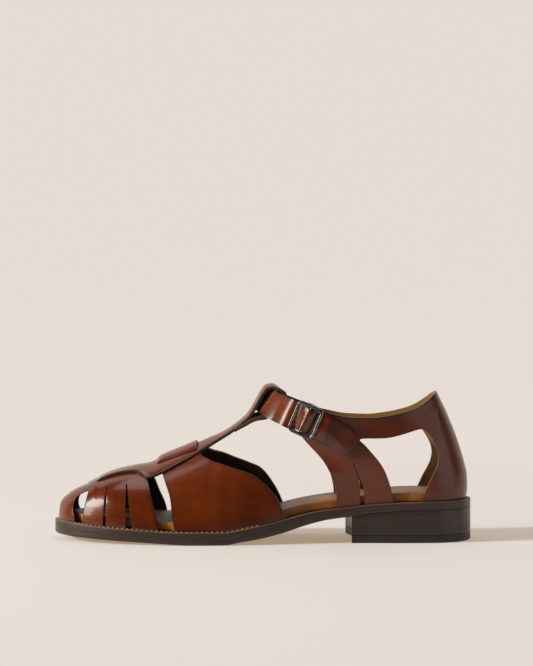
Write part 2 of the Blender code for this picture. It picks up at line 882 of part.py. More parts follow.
def buckle_axes():
    """The buckle's middle, on the strap's middle line, and its own three directions. Where the strap
    comes out further than that under the frame, the middle is lifted as far."""
    at, step = BUCKLE_AT, 0.3
    along = (ankle_point(at + step, -1, 0) - ankle_point(at - step, -1, 0)).normalized()
    across = ankle_point(at, -1, 0.004) - ankle_point(at, -1, -0.004)
    outwards = across.cross(along).normalized()
    if outwards.y > 0:
        outwards.negate()
    across = outwards.cross(along).normalized()
    middle = ankle_point(at, -1, 0)
    crown = 0.0
    for i in range(-4, 5):
        for w in (-ANKLE_STRAP_WIDTH / 2, 0, ANKLE_STRAP_WIDTH / 2):
            point = ankle_point(at + 0.3 * i, -1, w)
            if abs((point - middle).dot(along)) < BUCKLE_ALONG / 2:
                crown = max(crown, (point - middle).dot(outwards))
    return middle + outwards * crown, along, across, outwards


def bulge(distance, reach):
    return math.cos(math.pi * distance / (2 * reach)) ** 2 if abs(distance) < reach else 0.0


def make_ankle_strap(parts, cutters, looks):
    middle, along, across, outwards = buckle_axes()
    crown = (middle - ankle_point(BUCKLE_AT, -1, 0)).dot(outwards)
    stops = [MEDIAL_END - 0.6 * i for i in range(12)] + [1.2, 0.6]
    stops += [-0.5 * i for i in range(11)] + [-5.2 - 0.2 * i for i in range(14)]
    stops += [-8.4, -8.8, -9.1, -9.35, -9.55, -9.72, -9.86, -9.96]
    bar_rise = BAR_HEIGHT + BUCKLE_BAR / 2 + GAP + crown
    inside = BUCKLE_ALONG / 2 - BUCKLE_WIRE - GAP
    grid = []
    for stop in stops:
        side = 1 if stop > 0 else -1
        at = abs(stop)
        centre = ankle_point(at, side, 0)
        from_bar = (centre - middle).dot(along) if side < 0 and at > 4 else 1.0
        half = ANKLE_STRAP_WIDTH / 2 - STRAP_PINCH * bulge(from_bar, BUCKLE_ALONG * 0.6)
        tip = (at - TIP_START) / (10 - TIP_START)
        if side < 0 and tip > 0:
            half *= (1 - tip**TIP_POWER) ** (1 / TIP_POWER)
        row = []
        for j in range(5):
            point = ankle_point(at, side, half * (j / 2 - 1))
            point += outwards * bar_rise * bulge(from_bar, inside)
            row.append(point)
        grid.append(row)
    strap = sheet("ankle_strap", grid, ANKLE_STRAP_LEATHER, 0, parts)
    pin_hole = rod("pin_hole_cutter", middle, outwards, PIN_HOLE / 2, 4 * BUCKLE_WIRE, cutters)
    pin_hole.hide_render = True
    pin_hole.display_type = "WIRE"
    join_solid(strap, pin_hole, "DIFFERENCE")
    strap.data.materials.clear()
    strap.data.materials.append(looks["leather"])


def rod(name, start, direction, radius, length, where):
    """A round bar from a point along a direction."""
    bpy.ops.mesh.primitive_cylinder_add(vertices=12, radius=radius, depth=length)
    made = bpy.context.object
    made.name = name
    made.users_collection[0].objects.unlink(made)
    where.objects.link(made)
    turn = direction.to_track_quat("Z", "Y").to_matrix().to_4x4()
    turn.translation = start + direction * length / 2
    made.data.transform(turn)
    return made


def make_buckle(parts, cutters, looks):
    """A frame with a middle bar and a short pin, laid on the ankle strap."""
    middle, along, across, outwards = buckle_axes()
    seat = ANKLE_STRAP_LEATHER / 2 + 2 * GAP + BUCKLE_WIRE / 2
    bar = BAR_HEIGHT - ANKLE_STRAP_LEATHER / 2 - GAP
    half_along = (BUCKLE_ALONG - BUCKLE_WIRE) / 2
    half_across = (BUCKLE_ACROSS - BUCKLE_WIRE) / 2
    corner = BUCKLE_CORNER - BUCKLE_WIRE / 2
    curve = bpy.data.curves.new("buckle_frame", "CURVE")
    curve.dimensions = "3D"
    curve.bevel_depth = BUCKLE_WIRE / 2
    curve.bevel_resolution = 1
    points = []
    for quarter in range(4):
        turn_u, turn_v = ((1, 1), (-1, 1), (-1, -1), (1, -1))[quarter]
        for i in range(6):
            angle = math.radians(90 * quarter + 90 * i / 5)
            u = turn_u * (half_along - corner) + corner * math.cos(angle)
            v = turn_v * (half_across - corner) + corner * math.sin(angle)
            points.append(middle + along * u + across * v + outwards * seat)
    spline = curve.splines.new("POLY")
    spline.points.add(len(points) - 1)
    for knot, point in zip(spline.points, points):
        knot.co = (*point, 1)
    spline.use_cyclic_u = True
    guide = bpy.data.objects.new("buckle_curve", curve)
    parts.objects.link(guide)
    graph = bpy.context.evaluated_depsgraph_get()
    mesh = bpy.data.meshes.new_from_object(guide.evaluated_get(graph))
    bpy.data.objects.remove(guide)
    frame = bpy.data.objects.new("buckle_frame", mesh)
    parts.objects.link(frame)
    ends = middle + outwards * bar - across * half_across
    middle_bar = rod("buckle_bar", ends, across, BUCKLE_BAR / 2, 2 * half_across, cutters)
    pin_start = middle + outwards * bar
    pin_length = BUCKLE_BAR / 2 + 3 * GAP + ANKLE_STRAP_LEATHER
    pin = rod("buckle_pin", pin_start, outwards, PIN / 2, pin_length, cutters)
    for piece in (middle_bar, pin):
        piece.hide_render = True
        piece.display_type = "WIRE"
        join_solid(frame, piece, "UNION")
    frame.data.materials.clear()
    frame.data.materials.append(looks["metal"])


def make_parts():
    clear_scene()
    parts = collection("fisherman_sandal")
    cutters = collection("cutters")
    looks = {
        "leather": material("polished_leather", (0.30, 0.075, 0.02), 0.28),
        "sole": material("sole_leather", (0.045, 0.022, 0.016), 0.45),
        "rubber": material("rubber", (0.02, 0.016, 0.015), 0.6),
        "insole": material("insole_leather", (0.35, 0.19, 0.07), 0.4),
        "metal": material("dark_metal", (0.12, 0.12, 0.125), 0.3, 1.0),
    }
    make_outsole(parts, looks)
    make_heel(parts, cutters, looks)
    make_insole(parts, looks)
    make_upper_front(parts, cutters, looks)
    make_upper_quarter(parts, cutters, looks)
    make_ankle_strap(parts, cutters, looks)
    make_buckle(parts, cutters, looks)


make_parts()
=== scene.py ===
# Left fisherman sandal in polished red-brown leather, seen from its outer side
import bisect
import json
import math

import bpy
from mathutils import Matrix, Vector

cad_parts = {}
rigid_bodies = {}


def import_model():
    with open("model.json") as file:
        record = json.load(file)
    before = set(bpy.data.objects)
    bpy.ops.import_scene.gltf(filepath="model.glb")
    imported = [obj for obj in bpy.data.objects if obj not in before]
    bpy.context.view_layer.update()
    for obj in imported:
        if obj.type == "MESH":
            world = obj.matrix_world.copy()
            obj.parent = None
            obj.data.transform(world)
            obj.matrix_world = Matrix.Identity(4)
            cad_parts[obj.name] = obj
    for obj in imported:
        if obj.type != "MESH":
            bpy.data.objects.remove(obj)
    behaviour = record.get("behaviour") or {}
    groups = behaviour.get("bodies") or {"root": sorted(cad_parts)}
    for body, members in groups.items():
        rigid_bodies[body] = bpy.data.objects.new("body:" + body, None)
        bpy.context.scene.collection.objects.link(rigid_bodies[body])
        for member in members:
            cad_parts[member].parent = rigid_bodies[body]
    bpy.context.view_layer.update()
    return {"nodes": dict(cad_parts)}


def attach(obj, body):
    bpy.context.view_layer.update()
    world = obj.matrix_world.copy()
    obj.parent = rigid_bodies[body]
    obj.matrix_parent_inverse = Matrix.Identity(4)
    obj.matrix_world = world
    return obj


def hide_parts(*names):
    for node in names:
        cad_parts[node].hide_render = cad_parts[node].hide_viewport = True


for leftover in list(bpy.data.objects):
    bpy.data.objects.remove(leftover, do_unlink=True)
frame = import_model()
print("frame loaded:", ", ".join(sorted(frame["nodes"])))

# Sizes of the shoe, in metres
shoe = {
    "soleLength": 0.262,
    "ballWidth": 0.0865,
    "soleThickness": 0.0078,
    "toeSpring": 0.0036,
    "heelHeight": 0.0208,
    "topPiece": 0.0048,
    "insole": 0.0053,
    "toeMargin": 0.0038,
    "sideMargin": 0.0055,
    "heelMargin": 0.0046,
    "instepHeight": 0.0978,
    "collarHeight": 0.0930,
    "collarHalf": 0.0300,
    "gap": 0.0003,
    "leather": 0.0018,
    "quarterLeather": 0.0020,
    "heelRound": 2.7,
}


def throughRows(places, heights):
    # A smooth curve through the rows of a table that never overshoots them
    steps = [(heights[k + 1] - heights[k]) / (places[k + 1] - places[k]) for k in range(len(places) - 1)]
    slopes = [steps[0]]
    for before, after in zip(steps, steps[1:]):
        slopes.append(0.0 if before * after <= 0 else 2 * before * after / (before + after))
    slopes.append(steps[-1])

    def read(at):
        at = min(max(at, places[0]), places[-1])
        k = min(bisect.bisect_right(places, at), len(places) - 1) - 1
        width = places[k + 1] - places[k]
        t = (at - places[k]) / width
        low = (1 + 2 * t) * (1 - t) ** 2 * heights[k] + t * (1 - t) ** 2 * width * slopes[k]
        return low + t * t * (3 - 2 * t) * heights[k + 1] + t * t * (t - 1) * width * slopes[k + 1]

    return read


def curves(names, rows):
    # One curve for each named column after the first
    places = [row[0] for row in rows]
    return {name: throughRows(places, [row[i] for row in rows]) for i, name in enumerate(names) if i}


def spread(share):
    # Stretches a share of the length near the ends, where the outline turns round
    return math.acos(1 - 2 * min(max(share, 0.0), 1.0)) / math.pi


def place(share):
    return (share - 0.5) * shoe["soleLength"]


def shareOf(x):
    return x / shoe["soleLength"] + 0.5


def shareInside(x):
    return min(max(shareOf(x), 0.0), 1.0)


solePlan = curves(("station", "lateral", "medial"), [
    (spread(0.000), -0.035, 0.035), (spread(0.015), 0.116, 0.173), (spread(0.050), 0.243, 0.301),
    (spread(0.100), 0.341, 0.387), (spread(0.150), 0.405, 0.439), (spread(0.200), 0.445, 0.474),
    (spread(0.270), 0.484, 0.498), (spread(0.300), 0.496, 0.500), (spread(0.335), 0.500, 0.493),
    (spread(0.420), 0.486, 0.439), (spread(0.500), 0.445, 0.364), (spread(0.580), 0.393, 0.306),
    (spread(0.660), 0.353, 0.289), (spread(0.740), 0.335, 0.306), (spread(0.820), 0.341, 0.329),
    (spread(0.900), 0.330, 0.329), (spread(0.950), 0.283, 0.286), (spread(0.985), 0.172, 0.175),
    (spread(1.000), 0.000, 0.000),
])
soleSide = curves(("station", "toeLift", "heelLift", "thickness"), [
    (0.000, 1.00, 0.000, 1.12), (0.070, 0.80, 0.000, 1.08), (0.150, 0.55, 0.000, 1.01),
    (0.237, 0.30, 0.000, 0.97), (0.290, 0.10, 0.000, 0.98), (0.330, 0.00, 0.000, 1.00),
    (0.410, 0.00, 0.000, 1.00), (0.450, 0.00, 0.077, 1.00), (0.500, 0.00, 0.178, 1.06),
    (0.550, 0.00, 0.330, 1.05), (0.600, 0.00, 0.530, 0.94), (0.650, 0.00, 0.683, 0.82),
    (0.700, 0.00, 0.770, 0.77), (0.760, 0.00, 0.885, 0.70), (0.840, 0.00, 0.960, 0.64),
    (1.000, 0.00, 1.000, 0.64),
])
ridgeRows = [
    (0.019, 0.222), (0.036, 0.272), (0.060, 0.311), (0.084, 0.337), (0.108, 0.370), (0.132, 0.394),
    (0.156, 0.414), (0.181, 0.429), (0.210, 0.443), (0.233, 0.456), (0.265, 0.494), (0.302, 0.534),
    (0.340, 0.577), (0.374, 0.613), (0.397, 0.640), (0.422, 0.676), (0.446, 0.725), (0.476, 0.805),
    (0.511, 0.900), (0.552, 0.990), (0.600, 1.020),
]
lastForm = curves(("station", "power", "shift"), [
    (0.000, 2.20, 0.035), (0.120, 2.20, 0.025), (0.160, 2.05, 0.020), (0.215, 1.85, 0.018),
    (0.270, 1.70, 0.020), (0.330, 1.66, 0.022), (0.370, 1.70, 0.022), (0.410, 1.85, 0.015),
    (0.500, 1.80, 0.000), (0.600, 1.80, 0.000),
])


def soleBottom(share):
    return shoe["toeSpring"] * soleSide["toeLift"](share) + shoe["heelHeight"] * soleSide["heelLift"](share)


def soleTop(share):
    return soleBottom(share) + shoe["soleThickness"] * soleSide["thickness"](share)


def soleHalf(share, side):
    return shoe["ballWidth"] * solePlan[side](spread(share))


def lastHalf(share, side, inset=0.0):
    start = (shoe["toeMargin"] + inset) / shoe["soleLength"]
    end = 1 - (shoe["heelMargin"] + inset) / shoe["soleLength"]
    inside = (share - start) / (end - start)
    return soleHalf(inside, side) * (1 - 2 * (shoe["sideMargin"] + inset) / shoe["ballWidth"])


def lastPlan(share):
    lateral, medial = lastHalf(share, "lateral"), lastHalf(share, "medial")
    return (medial - lateral) / 2, (medial + lateral) / 2


def ridgeY(share):
    return shoe["ballWidth"] * lastForm["shift"](share)


toeTip = shoe["toeMargin"] / shoe["soleLength"]
ridgeCurve = throughRows(
    [spread(toeTip)] + [spread(row[0]) for row in ridgeRows],
    [soleTop(toeTip) + shoe["gap"]] + [shoe["instepHeight"] * row[1] for row in ridgeRows],
)


def ridge(share):
    return ridgeCurve(spread(share))


def lastPoint(share, angle, lift):
    # A point off the last, at an angle round its section: 0 outer side, 90 on top, 180 inner side
    power = lastForm["power"](share)
    turn = math.radians(angle)
    across = math.copysign(abs(math.cos(turn)) ** (2 / power), -math.cos(turn))
    rise = max(math.sin(turn), 0.0) ** (2 / power)
    base = soleTop(share) + shoe["gap"]
    middle, half = lastPlan(share)
    y = middle * (1 - rise) + ridgeY(share) * rise + (half + lift) * across
    return Vector((place(share), y, base + (ridge(share) + lift - base) * rise))


def heightAt(share, y, lift):
    power = lastForm["power"](share)
    middle, half = lastPlan(share)
    rise = 1.0
    for _ in range(14):
        across = abs(y - middle * (1 - rise) - ridgeY(share) * rise) / (half + lift)
        rise = (1 - min(across, 0.98) ** power) ** (1 / power)
    base = soleTop(share) + shoe["gap"]
    return base + (ridge(share) + lift - base) * rise


def insideLast(point, lift):
    share = shareOf(point.x + lift)
    if share <= toeTip:
        return False
    power = lastForm["power"](share)
    base = soleTop(share) + shoe["gap"]
    rise = max(point.z - base, 0.0) / (ridge(share) + lift - base)
    middle, half = lastPlan(share)
    across = abs(point.y - middle * (1 - rise) - ridgeY(share) * rise) / (half + lift)
    return across ** power + rise ** power < 1


def only(obj):
    # Selects one object and nothing else
    bpy.ops.object.select_all(action="DESELECT")
    obj.select_set(True)
    bpy.context.view_layer.objects.active = obj


def applyModifier(obj, kind, **settings):
    only(obj)
    made = obj.modifiers.new(kind.title(), kind)
    for name, setting in settings.items():
        setattr(made, name, setting)
    bpy.ops.object.modifier_apply(modifier=made.name)


def editAll(obj, *steps):
    # Runs edit mode operators with the whole mesh selected
    only(obj)
    bpy.ops.object.mode_set(mode="EDIT")
    bpy.ops.mesh.select_all(action="SELECT")
    for step in steps:
        step()
    bpy.ops.object.mode_set(mode="OBJECT")


def addSlots(obj):
    # Outer face, lining and cut edge
    for slot in range(3):
        obj.data.materials.append(None)


def finishPiece(obj, slots, angle=40):
    for k, material in enumerate(slots):
        if k < len(obj.data.materials):
            obj.data.materials[k] = material
        else:
            obj.data.materials.append(material)
    only(obj)
    bpy.ops.object.shade_smooth_by_angle(angle=math.radians(angle))
    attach(obj, "root")


def draped(name, counts, surface, inside):
    # A flat grid laid on a surface, with its face away from a point inside the shoe
    bpy.ops.object.select_all(action="DESELECT")
    bpy.ops.mesh.primitive_grid_add(x_subdivisions=counts[0], y_subdivisions=counts[1], size=2)
    sheet = bpy.context.object
    sheet.name = name
    for corner in sheet.data.vertices:
        corner.co = surface((corner.co.x + 1) / 2, (corner.co.y + 1) / 2)
    middleFace = sheet.data.polygons[len(sheet.data.polygons) // 2 + counts[0] // 2]
    if middleFace.normal.dot(middleFace.center - Vector(inside)) < 0:
        editAll(sheet, bpy.ops.mesh.flip_normals)
    return sheet


def thicken(sheet, thickness):
    # The wall of the leather: outer face, lining and cut edge get slots 0, 1 and 2
    addSlots(sheet)
    applyModifier(sheet, "SOLIDIFY", thickness=thickness, offset=-1, use_even_offset=True,
                  material_offset=1, material_offset_rim=2)


def markCutter(block):
    # What the block cuts gets the slot of a cut edge
    addSlots(block)
    for face in block.data.polygons:
        face.material_index = 2
    return block


cutterHalf = 0.07  # reach of a side cutter to each side


def sideCutter(name, outline, height, rounds=2):
    # A block with a smooth outline seen from the side, right across the shoe
    points = [Vector((place(x), 0, z * height)) for x, z in outline]
    for _ in range(rounds):
        finer = []
        for k, here in enumerate(points):
            after = points[(k + 1) % len(points)]
            finer += [here.lerp(after, 0.25), here.lerp(after, 0.75)]
        points = finer
    bpy.ops.object.select_all(action="DESELECT")
    bpy.ops.mesh.primitive_circle_add(vertices=len(points), fill_type="NGON")
    block = bpy.context.object
    block.name = name
    for corner, point in zip(block.data.vertices, points):
        corner.co = point - Vector((0, cutterHalf, 0))
    across = {"value": (0, 2 * cutterHalf, 0)}
    editAll(block, lambda: bpy.ops.mesh.extrude_region_move(TRANSFORM_OT_translate=across))
    editAll(block, lambda: bpy.ops.mesh.normals_make_consistent(inside=False))
    return markCutter(block)


def cutOut(piece, *blocks, crossing=False):
    for block in blocks:
        block.data.update()
        bpy.context.view_layer.update()
        applyModifier(piece, "BOOLEAN", operation="DIFFERENCE", object=block, solver="EXACT",
                      use_self=crossing)
        bpy.data.objects.remove(block, do_unlink=True)


# Front and rear edge of each band: place along the sole at each angle round the last
fingerEdges = curves(("angle", "front", "rear"), [
    (0, 0.076, 0.260), (15, 0.078, 0.252), (32, 0.082, 0.239), (52, 0.086, 0.228), (70, 0.084, 0.214),
    (90, 0.080, 0.208), (110, 0.084, 0.214), (128, 0.086, 0.231), (148, 0.082, 0.244), (165, 0.078, 0.259),
    (180, 0.076, 0.266),
])
vampEdges = curves(("angle", "front", "rear"), [
    (0, 0.297, 0.556), (11, 0.291, 0.536), (17, 0.288, 0.518), (24, 0.286, 0.494), (30, 0.283, 0.471),
    (41, 0.274, 0.424), (54, 0.264, 0.376), (66, 0.258, 0.351), (90, 0.250, 0.344), (115, 0.258, 0.372),
    (133, 0.270, 0.420), (147, 0.283, 0.469), (153, 0.286, 0.494), (161, 0.289, 0.518), (171, 0.293, 0.542),
    (180, 0.297, 0.558),
])
centreStrap = curves(("station", "height", "halfWidth"), [
    (0.060, 0.318, 0.0100), (0.084, 0.349, 0.0103), (0.100, 0.380, 0.0105), (0.108, 0.400, 0.0112),
    (0.132, 0.430, 0.0114), (0.156, 0.451, 0.0117), (0.181, 0.466, 0.0122), (0.200, 0.476, 0.0135),
    (0.214, 0.481, 0.0180), (0.228, 0.488, 0.0214), (0.262, 0.529, 0.0208), (0.302, 0.573, 0.0180),
    (0.340, 0.612, 0.0148), (0.374, 0.652, 0.0122), (0.397, 0.678, 0.0106), (0.422, 0.716, 0.0097),
])
tBar = curves(("along", "x", "height"), [
    (0, 0.422, 0.716), (1, 0.446, 0.765), (2, 0.463, 0.808), (3, 0.476, 0.863), (4, 0.486, 0.910),
    (5, 0.496, 0.957), (6, 0.507, 0.990), (7, 0.522, 1.000), (8, 0.536, 0.982), (9, 0.541, 0.952),
    (10, 0.531, 0.920), (11, 0.518, 0.880), (12, 0.505, 0.832), (13, 0.492, 0.797), (14, 0.474, 0.783),
    (15, 0.452, 0.740), (16, 0.430, 0.706),
])
tBarForm = {"halfWidth": 0.0095, "sag": 0.0019, "innerSag": 0.0008, "lean": 0.6, "innerLean": 1.1}
tBarRows = 16
innerTurn = throughRows([0, 7, 9, 13, 15.5, tBarRows], [0, 0, 1, 1, 0, 0])  # 1 on the loop's inner side
centreEnds = (0.062, 0.422)  # the middle strap from the toe strap to the T-bar
padForm = {"first": 0.245, "last": 0.342, "halfWidth": 0.0125, "layers": 2.9, "sink": 0.0013,
           "lip": 0.12}
toeHole = [
    (0.130, 0.00), (0.060, 0.00), (0.0545, 0.155), (0.0500, 0.185), (0.0485, 0.215), (0.0520, 0.255),
    (0.0620, 0.288), (0.0760, 0.308), (0.1000, 0.318), (0.1300, 0.318),
]
fingerSlits = [
    [(0.1300, 0.345), (0.1330, 0.345), (0.1330, 0.0), (0.1230, 0.0)],
    [(0.1770, 0.365), (0.1800, 0.365), (0.2030, 0.0), (0.1820, 0.0)],
]
heelWindow = [
    (0.811, 0.00), (0.808, 0.27), (0.803, 0.346), (0.799, 0.392), (0.787, 0.482), (0.775, 0.534),
    (0.763, 0.577), (0.752, 0.611), (0.740, 0.640), (0.727, 0.680), (0.733, 0.692), (0.775, 0.690),
    (0.799, 0.694), (0.823, 0.710), (0.846, 0.729), (0.869, 0.749), (0.879, 0.750), (0.889, 0.737),
    (0.903, 0.675), (0.912, 0.625), (0.916, 0.572), (0.914, 0.522), (0.907, 0.470), (0.895, 0.410),
    (0.885, 0.350), (0.877, 0.300), (0.874, 0.260), (0.872, 0.00),
]
legSlit = [
    (0.7095, 0.545), (0.7165, 0.501), (0.7240, 0.452), (0.7275, 0.405), (0.7295, 0.353), (0.7300, 0.00),
    (0.7420, 0.00), (0.7400, 0.353), (0.7345, 0.392), (0.7290, 0.430), (0.7225, 0.478), (0.7150, 0.522),
]
quarterFront = curves(("rise", "x"), [
    (0.00, 0.675), (0.14, 0.674), (0.24, 0.670), (0.34, 0.663), (0.42, 0.654), (0.50, 0.642),
    (0.57, 0.627), (0.63, 0.612), (0.68, 0.600), (0.74, 0.588), (0.82, 0.582), (0.92, 0.584),
    (1.00, 0.594),
])
quarterBack = curves(("rise", "x", "toCollar", "frontTaper"), [
    (0.00, 0.9900, 0.00, 0.00), (0.10, 0.9925, 0.05, 0.00), (0.21, 0.9915, 0.16, 0.00),
    (0.36, 0.9830, 0.36, 0.00), (0.45, 0.9760, 0.48, 0.03), (0.59, 0.9640, 0.64, 0.10),
    (0.71, 0.9520, 0.77, 0.17), (0.82, 0.9400, 0.87, 0.22), (0.92, 0.9275, 0.95, 0.25),
    (1.00, 0.9180, 1.00, 0.26),
])
collarLine = curves(("station", "height"), [
    (0.560, 0.925), (0.610, 0.893), (0.657, 0.857), (0.705, 0.832), (0.752, 0.828), (0.798, 0.843),
    (0.843, 0.874), (0.868, 0.905), (0.890, 0.950), (0.915, 1.000), (1.000, 1.000),
])
anklePath = curves(("along", "x", "side", "height"), [
    (0, 0.5020, 0.000, 0.900), (1, 0.5060, 0.170, 0.893), (2, 0.5168, 0.317, 0.873),
    (3, 0.5336, 0.500, 0.849), (4, 0.5534, 0.685, 0.825), (5, 0.5744, 0.825, 0.801),
    (6, 0.5992, 0.900, 0.779), (7, 0.6221, 0.940, 0.750), (8, 0.6527, 0.960, 0.706),
    (9, 0.6832, 0.970, 0.660), (10, 0.7140, 0.970, 0.614),
])
# Places along the path: where the inner end is, where the tip starts and ends, where it lies on the quarter
ankleForm = {"width": 0.0173, "leather": 0.0018, "pinch": 0.0018, "medialEnd": 8.4, "tipStart": 9.0,
             "tipEnd": 9.985, "seatFrom": 3.2, "seatOver": 2}
instepOut = Vector((-0.82, 0, 0.57))  # away from the foot on the instep
buckle = {"across": 0.0207, "along": 0.0185, "wire": 0.0022, "corner": 0.0038, "bar": 0.0018,
          "barHeight": 0.0019, "pin": 0.0012, "at": 6.3}


def eased(share):
    return share * share * (3 - 2 * share)


dipForm = {"over": 0.016, "spread": 40}  # share of the length, and degrees to each side


def bandPoint(edges, lift, dip=0.0, dipFrom=0.0):
    # The band sinks under the middle strap, past its own front lip
    def surface(u, v):
        angle = 180 * v
        front, rear = edges["front"](angle), edges["rear"](angle)
        share = front + (rear - front) * u
        past = min(max((share - dipFrom) / dipForm["over"], 0.0), 1.0)
        under = math.exp(-((angle - 90) / dipForm["spread"]) ** 2) * eased(past)
        return lastPoint(share, angle, lift - dip * under)
    return surface


def centrePoint(u, v):
    # The middle strap up to the T-bar for u under half, then the T-bar and its loop
    w = 2 * v - 1
    first, last = centreEnds
    if u < 0.5:
        share = first + (last - first) * u / 0.5
        y = ridgeY(share) + centreStrap["halfWidth"](share) * w
        lift = shoe["instepHeight"] * centreStrap["height"](share) - ridge(share)
        return Vector((place(share), y, heightAt(share, y, lift)))
    at = tBarRows * (u - 0.5) / 0.5
    startTop = shoe["instepHeight"] * centreStrap["height"](last)
    startEdge = ridgeY(last) - centreStrap["halfWidth"](last)
    startSag = startTop - heightAt(last, startEdge, startTop - ridge(last))
    inner = innerTurn(at)
    sag = tBarForm["sag"] + (startSag - tBarForm["sag"]) * max(0.0, 1 - at / 3)
    sag += tBarForm["innerSag"] * inner
    lean = tBarForm["lean"] * min(at / 3, 1.0) + tBarForm["innerLean"] * inner
    x = place(tBar["x"](at)) + lean * sag * w * w
    y = ridgeY(tBar["x"](min(at, 6))) + tBarForm["halfWidth"] * w
    return Vector((x, y, shoe["instepHeight"] * tBar["height"](at) - sag * w * w))


def padPoint(u, v):
    share = padForm["first"] + (padForm["last"] - padForm["first"]) * u
    y = ridgeY(share) + padForm["halfWidth"] * (2 * v - 1)
    side, front = abs(2 * v - 1) ** 8, max(0.0, 1 - u / padForm["lip"]) ** 2
    sink = padForm["sink"] * max(side if v < 0.5 else 0.0, front)
    return Vector((place(share), y, heightAt(share, y, padForm["layers"] * shoe["leather"] - sink)))


def quarterPoint(around, rise, lift):
    # The wall at the back: around runs from -1 at the outer front edge over the heel to 1
    front = place(quarterFront["x"](rise))
    back = place(quarterBack["x"](rise)) - shoe["quarterLeather"]
    tail = shoe["soleLength"] / 2 - shoe["heelMargin"]
    turn = math.radians(90 * (1 - abs(around)))
    along = math.sin(turn) ** (2 / shoe["heelRound"])
    width = math.cos(turn) ** (2 / shoe["heelRound"])
    x = front + (back - front) * along
    low = lastHalf(shareOf(front + (tail - front) * along), "lateral" if around < 0 else "medial")
    high = (shoe["collarHalf"] - shoe["quarterLeather"]) * width
    half = low + (high - low) * quarterBack["toCollar"](rise)
    half *= 1 - quarterBack["frontTaper"](rise) * max(0.0, 1 - along / 0.25) ** 2
    base = soleTop(shareOf(x)) + shoe["gap"]
    top = shoe["collarHeight"] * collarLine["height"](shareOf(x))
    y = math.copysign(half + lift * width, around)
    return Vector((x + lift * along, y, base + (top - base) * rise))


def quarterHalf(x, z, side):
    # Half width to the inner face of the quarter, at a place seen from the side
    base = soleTop(shareOf(x)) + shoe["gap"]
    top = shoe["collarHeight"] * collarLine["height"](shareOf(x))
    rise = min(max((z - base) / (top - base), 0.0), 1.0)
    front, back = place(quarterFront["x"](rise)), place(quarterBack["x"](rise))
    along = min(max((x - front) / (back - front), 0.0), 1.0)
    turn = math.degrees(math.asin(along ** (shoe["heelRound"] / 2)))
    return abs(quarterPoint(side * (1 - turn / 90), rise, 0).y)


def overQuarter(x, z, side, lift):
    step = 0.002
    here = quarterHalf(x, z, side)
    slope = (quarterHalf(x + step, z, side) - here) / step
    return here + (shoe["quarterLeather"] + lift) * math.hypot(1, slope)


def ankleCentre(at, side):
    y = shoe["collarHalf"] * anklePath["side"](at)
    return Vector((place(anklePath["x"](at)), side * y, shoe["instepHeight"] * anklePath["height"](at)))


def anklePoint(at, side, w):
    # The ankle strap's middle sheet before it bulges over the buckle's bar
    tangent = ankleCentre(at + 0.05, side) - ankleCentre(max(at - 0.05, 0.0), side)
    turned = min(anklePath["side"](at) / 0.9, 1.0)
    outwards = instepOut.lerp(Vector((0, side, 0)), turned)
    across = tangent.cross(outwards).normalized()
    if across.z < 0:
        across.negate()
    point = ankleCentre(at, side) + across * w
    if at > ankleForm["seatFrom"]:
        seat = overQuarter(point.x, point.z, side, shoe["gap"] + ankleForm["leather"] / 2)
        share = min((at - ankleForm["seatFrom"]) / ankleForm["seatOver"], 1.0)
        reach = abs(point.y)
        point.y = side * (reach + max(seat - reach, 0.0) * eased(share))
    return point


def buckleAxes():
    at = buckle["at"]
    along = (anklePoint(at + 0.3, -1, 0) - anklePoint(at - 0.3, -1, 0)).normalized()
    across = anklePoint(at, -1, 0.004) - anklePoint(at, -1, -0.004)
    outwards = across.cross(along).normalized()
    if outwards.y > 0:
        outwards.negate()
    across = outwards.cross(along).normalized()
    middle = anklePoint(at, -1, 0)
    crown = 0.0
    for i in range(-4, 5):
        for w in (-ankleForm["width"] / 2, 0, ankleForm["width"] / 2):
            point = anklePoint(at + 0.3 * i, -1, w)
            if abs((point - middle).dot(along)) < buckle["along"] / 2:
                crown = max(crown, (point - middle).dot(outwards))
    return middle + outwards * crown, along, across, outwards, crown


def node(tree, kind, sockets=None, **settings):
    made = tree.nodes.new(kind)
    for name, setting in settings.items():
        setattr(made, name, setting)
    for name, value in (sockets or {}).items():
        if isinstance(value, bpy.types.NodeSocket):
            tree.links.new(value, made.inputs[name])
        else:
            made.inputs[name].default_value = value
    return made


def mixed(tree, factor, low, high):
    # Blends two colours and gives the socket of the result
    made = node(tree, "ShaderNodeMix", data_type="RGBA")
    for index, value in ((0, factor), (6, low), (7, high)):
        if isinstance(value, bpy.types.NodeSocket):
            tree.links.new(value, made.inputs[index])
        else:
            made.inputs[index].default_value = value
    return made.outputs[2]


def sums(tree, operation, first, second):
    return node(tree, "ShaderNodeMath", {0: first, 1: second}, operation=operation).outputs[0]


def ranged(tree, value, low, high, toLow=0.0, toHigh=1.0):
    made = node(tree, "ShaderNodeMapRange", {"Value": value, "From Min": low, "From Max": high,
                                             "To Min": toLow, "To Max": toHigh})
    return made.outputs["Result"]


def nodeGroup(name, inputs, outputs):
    made = bpy.data.node_groups.new(name, "ShaderNodeTree")
    for title, kind, value in inputs:
        socket = made.interface.new_socket(title, in_out="INPUT", socket_type="NodeSocket" + kind)
        socket.default_value = value
    for title, kind in outputs:
        made.interface.new_socket(title, in_out="OUTPUT", socket_type="NodeSocket" + kind)
    return made, made.nodes.new("NodeGroupInput").outputs, made.nodes.new("NodeGroupOutput").inputs


def noise(tree, where, scale, detail, roughness=0.5):
    sockets = {"Vector": where, "Scale": scale, "Detail": detail, "Roughness": roughness}
    return node(tree, "ShaderNodeTexNoise", sockets).outputs["Fac"]


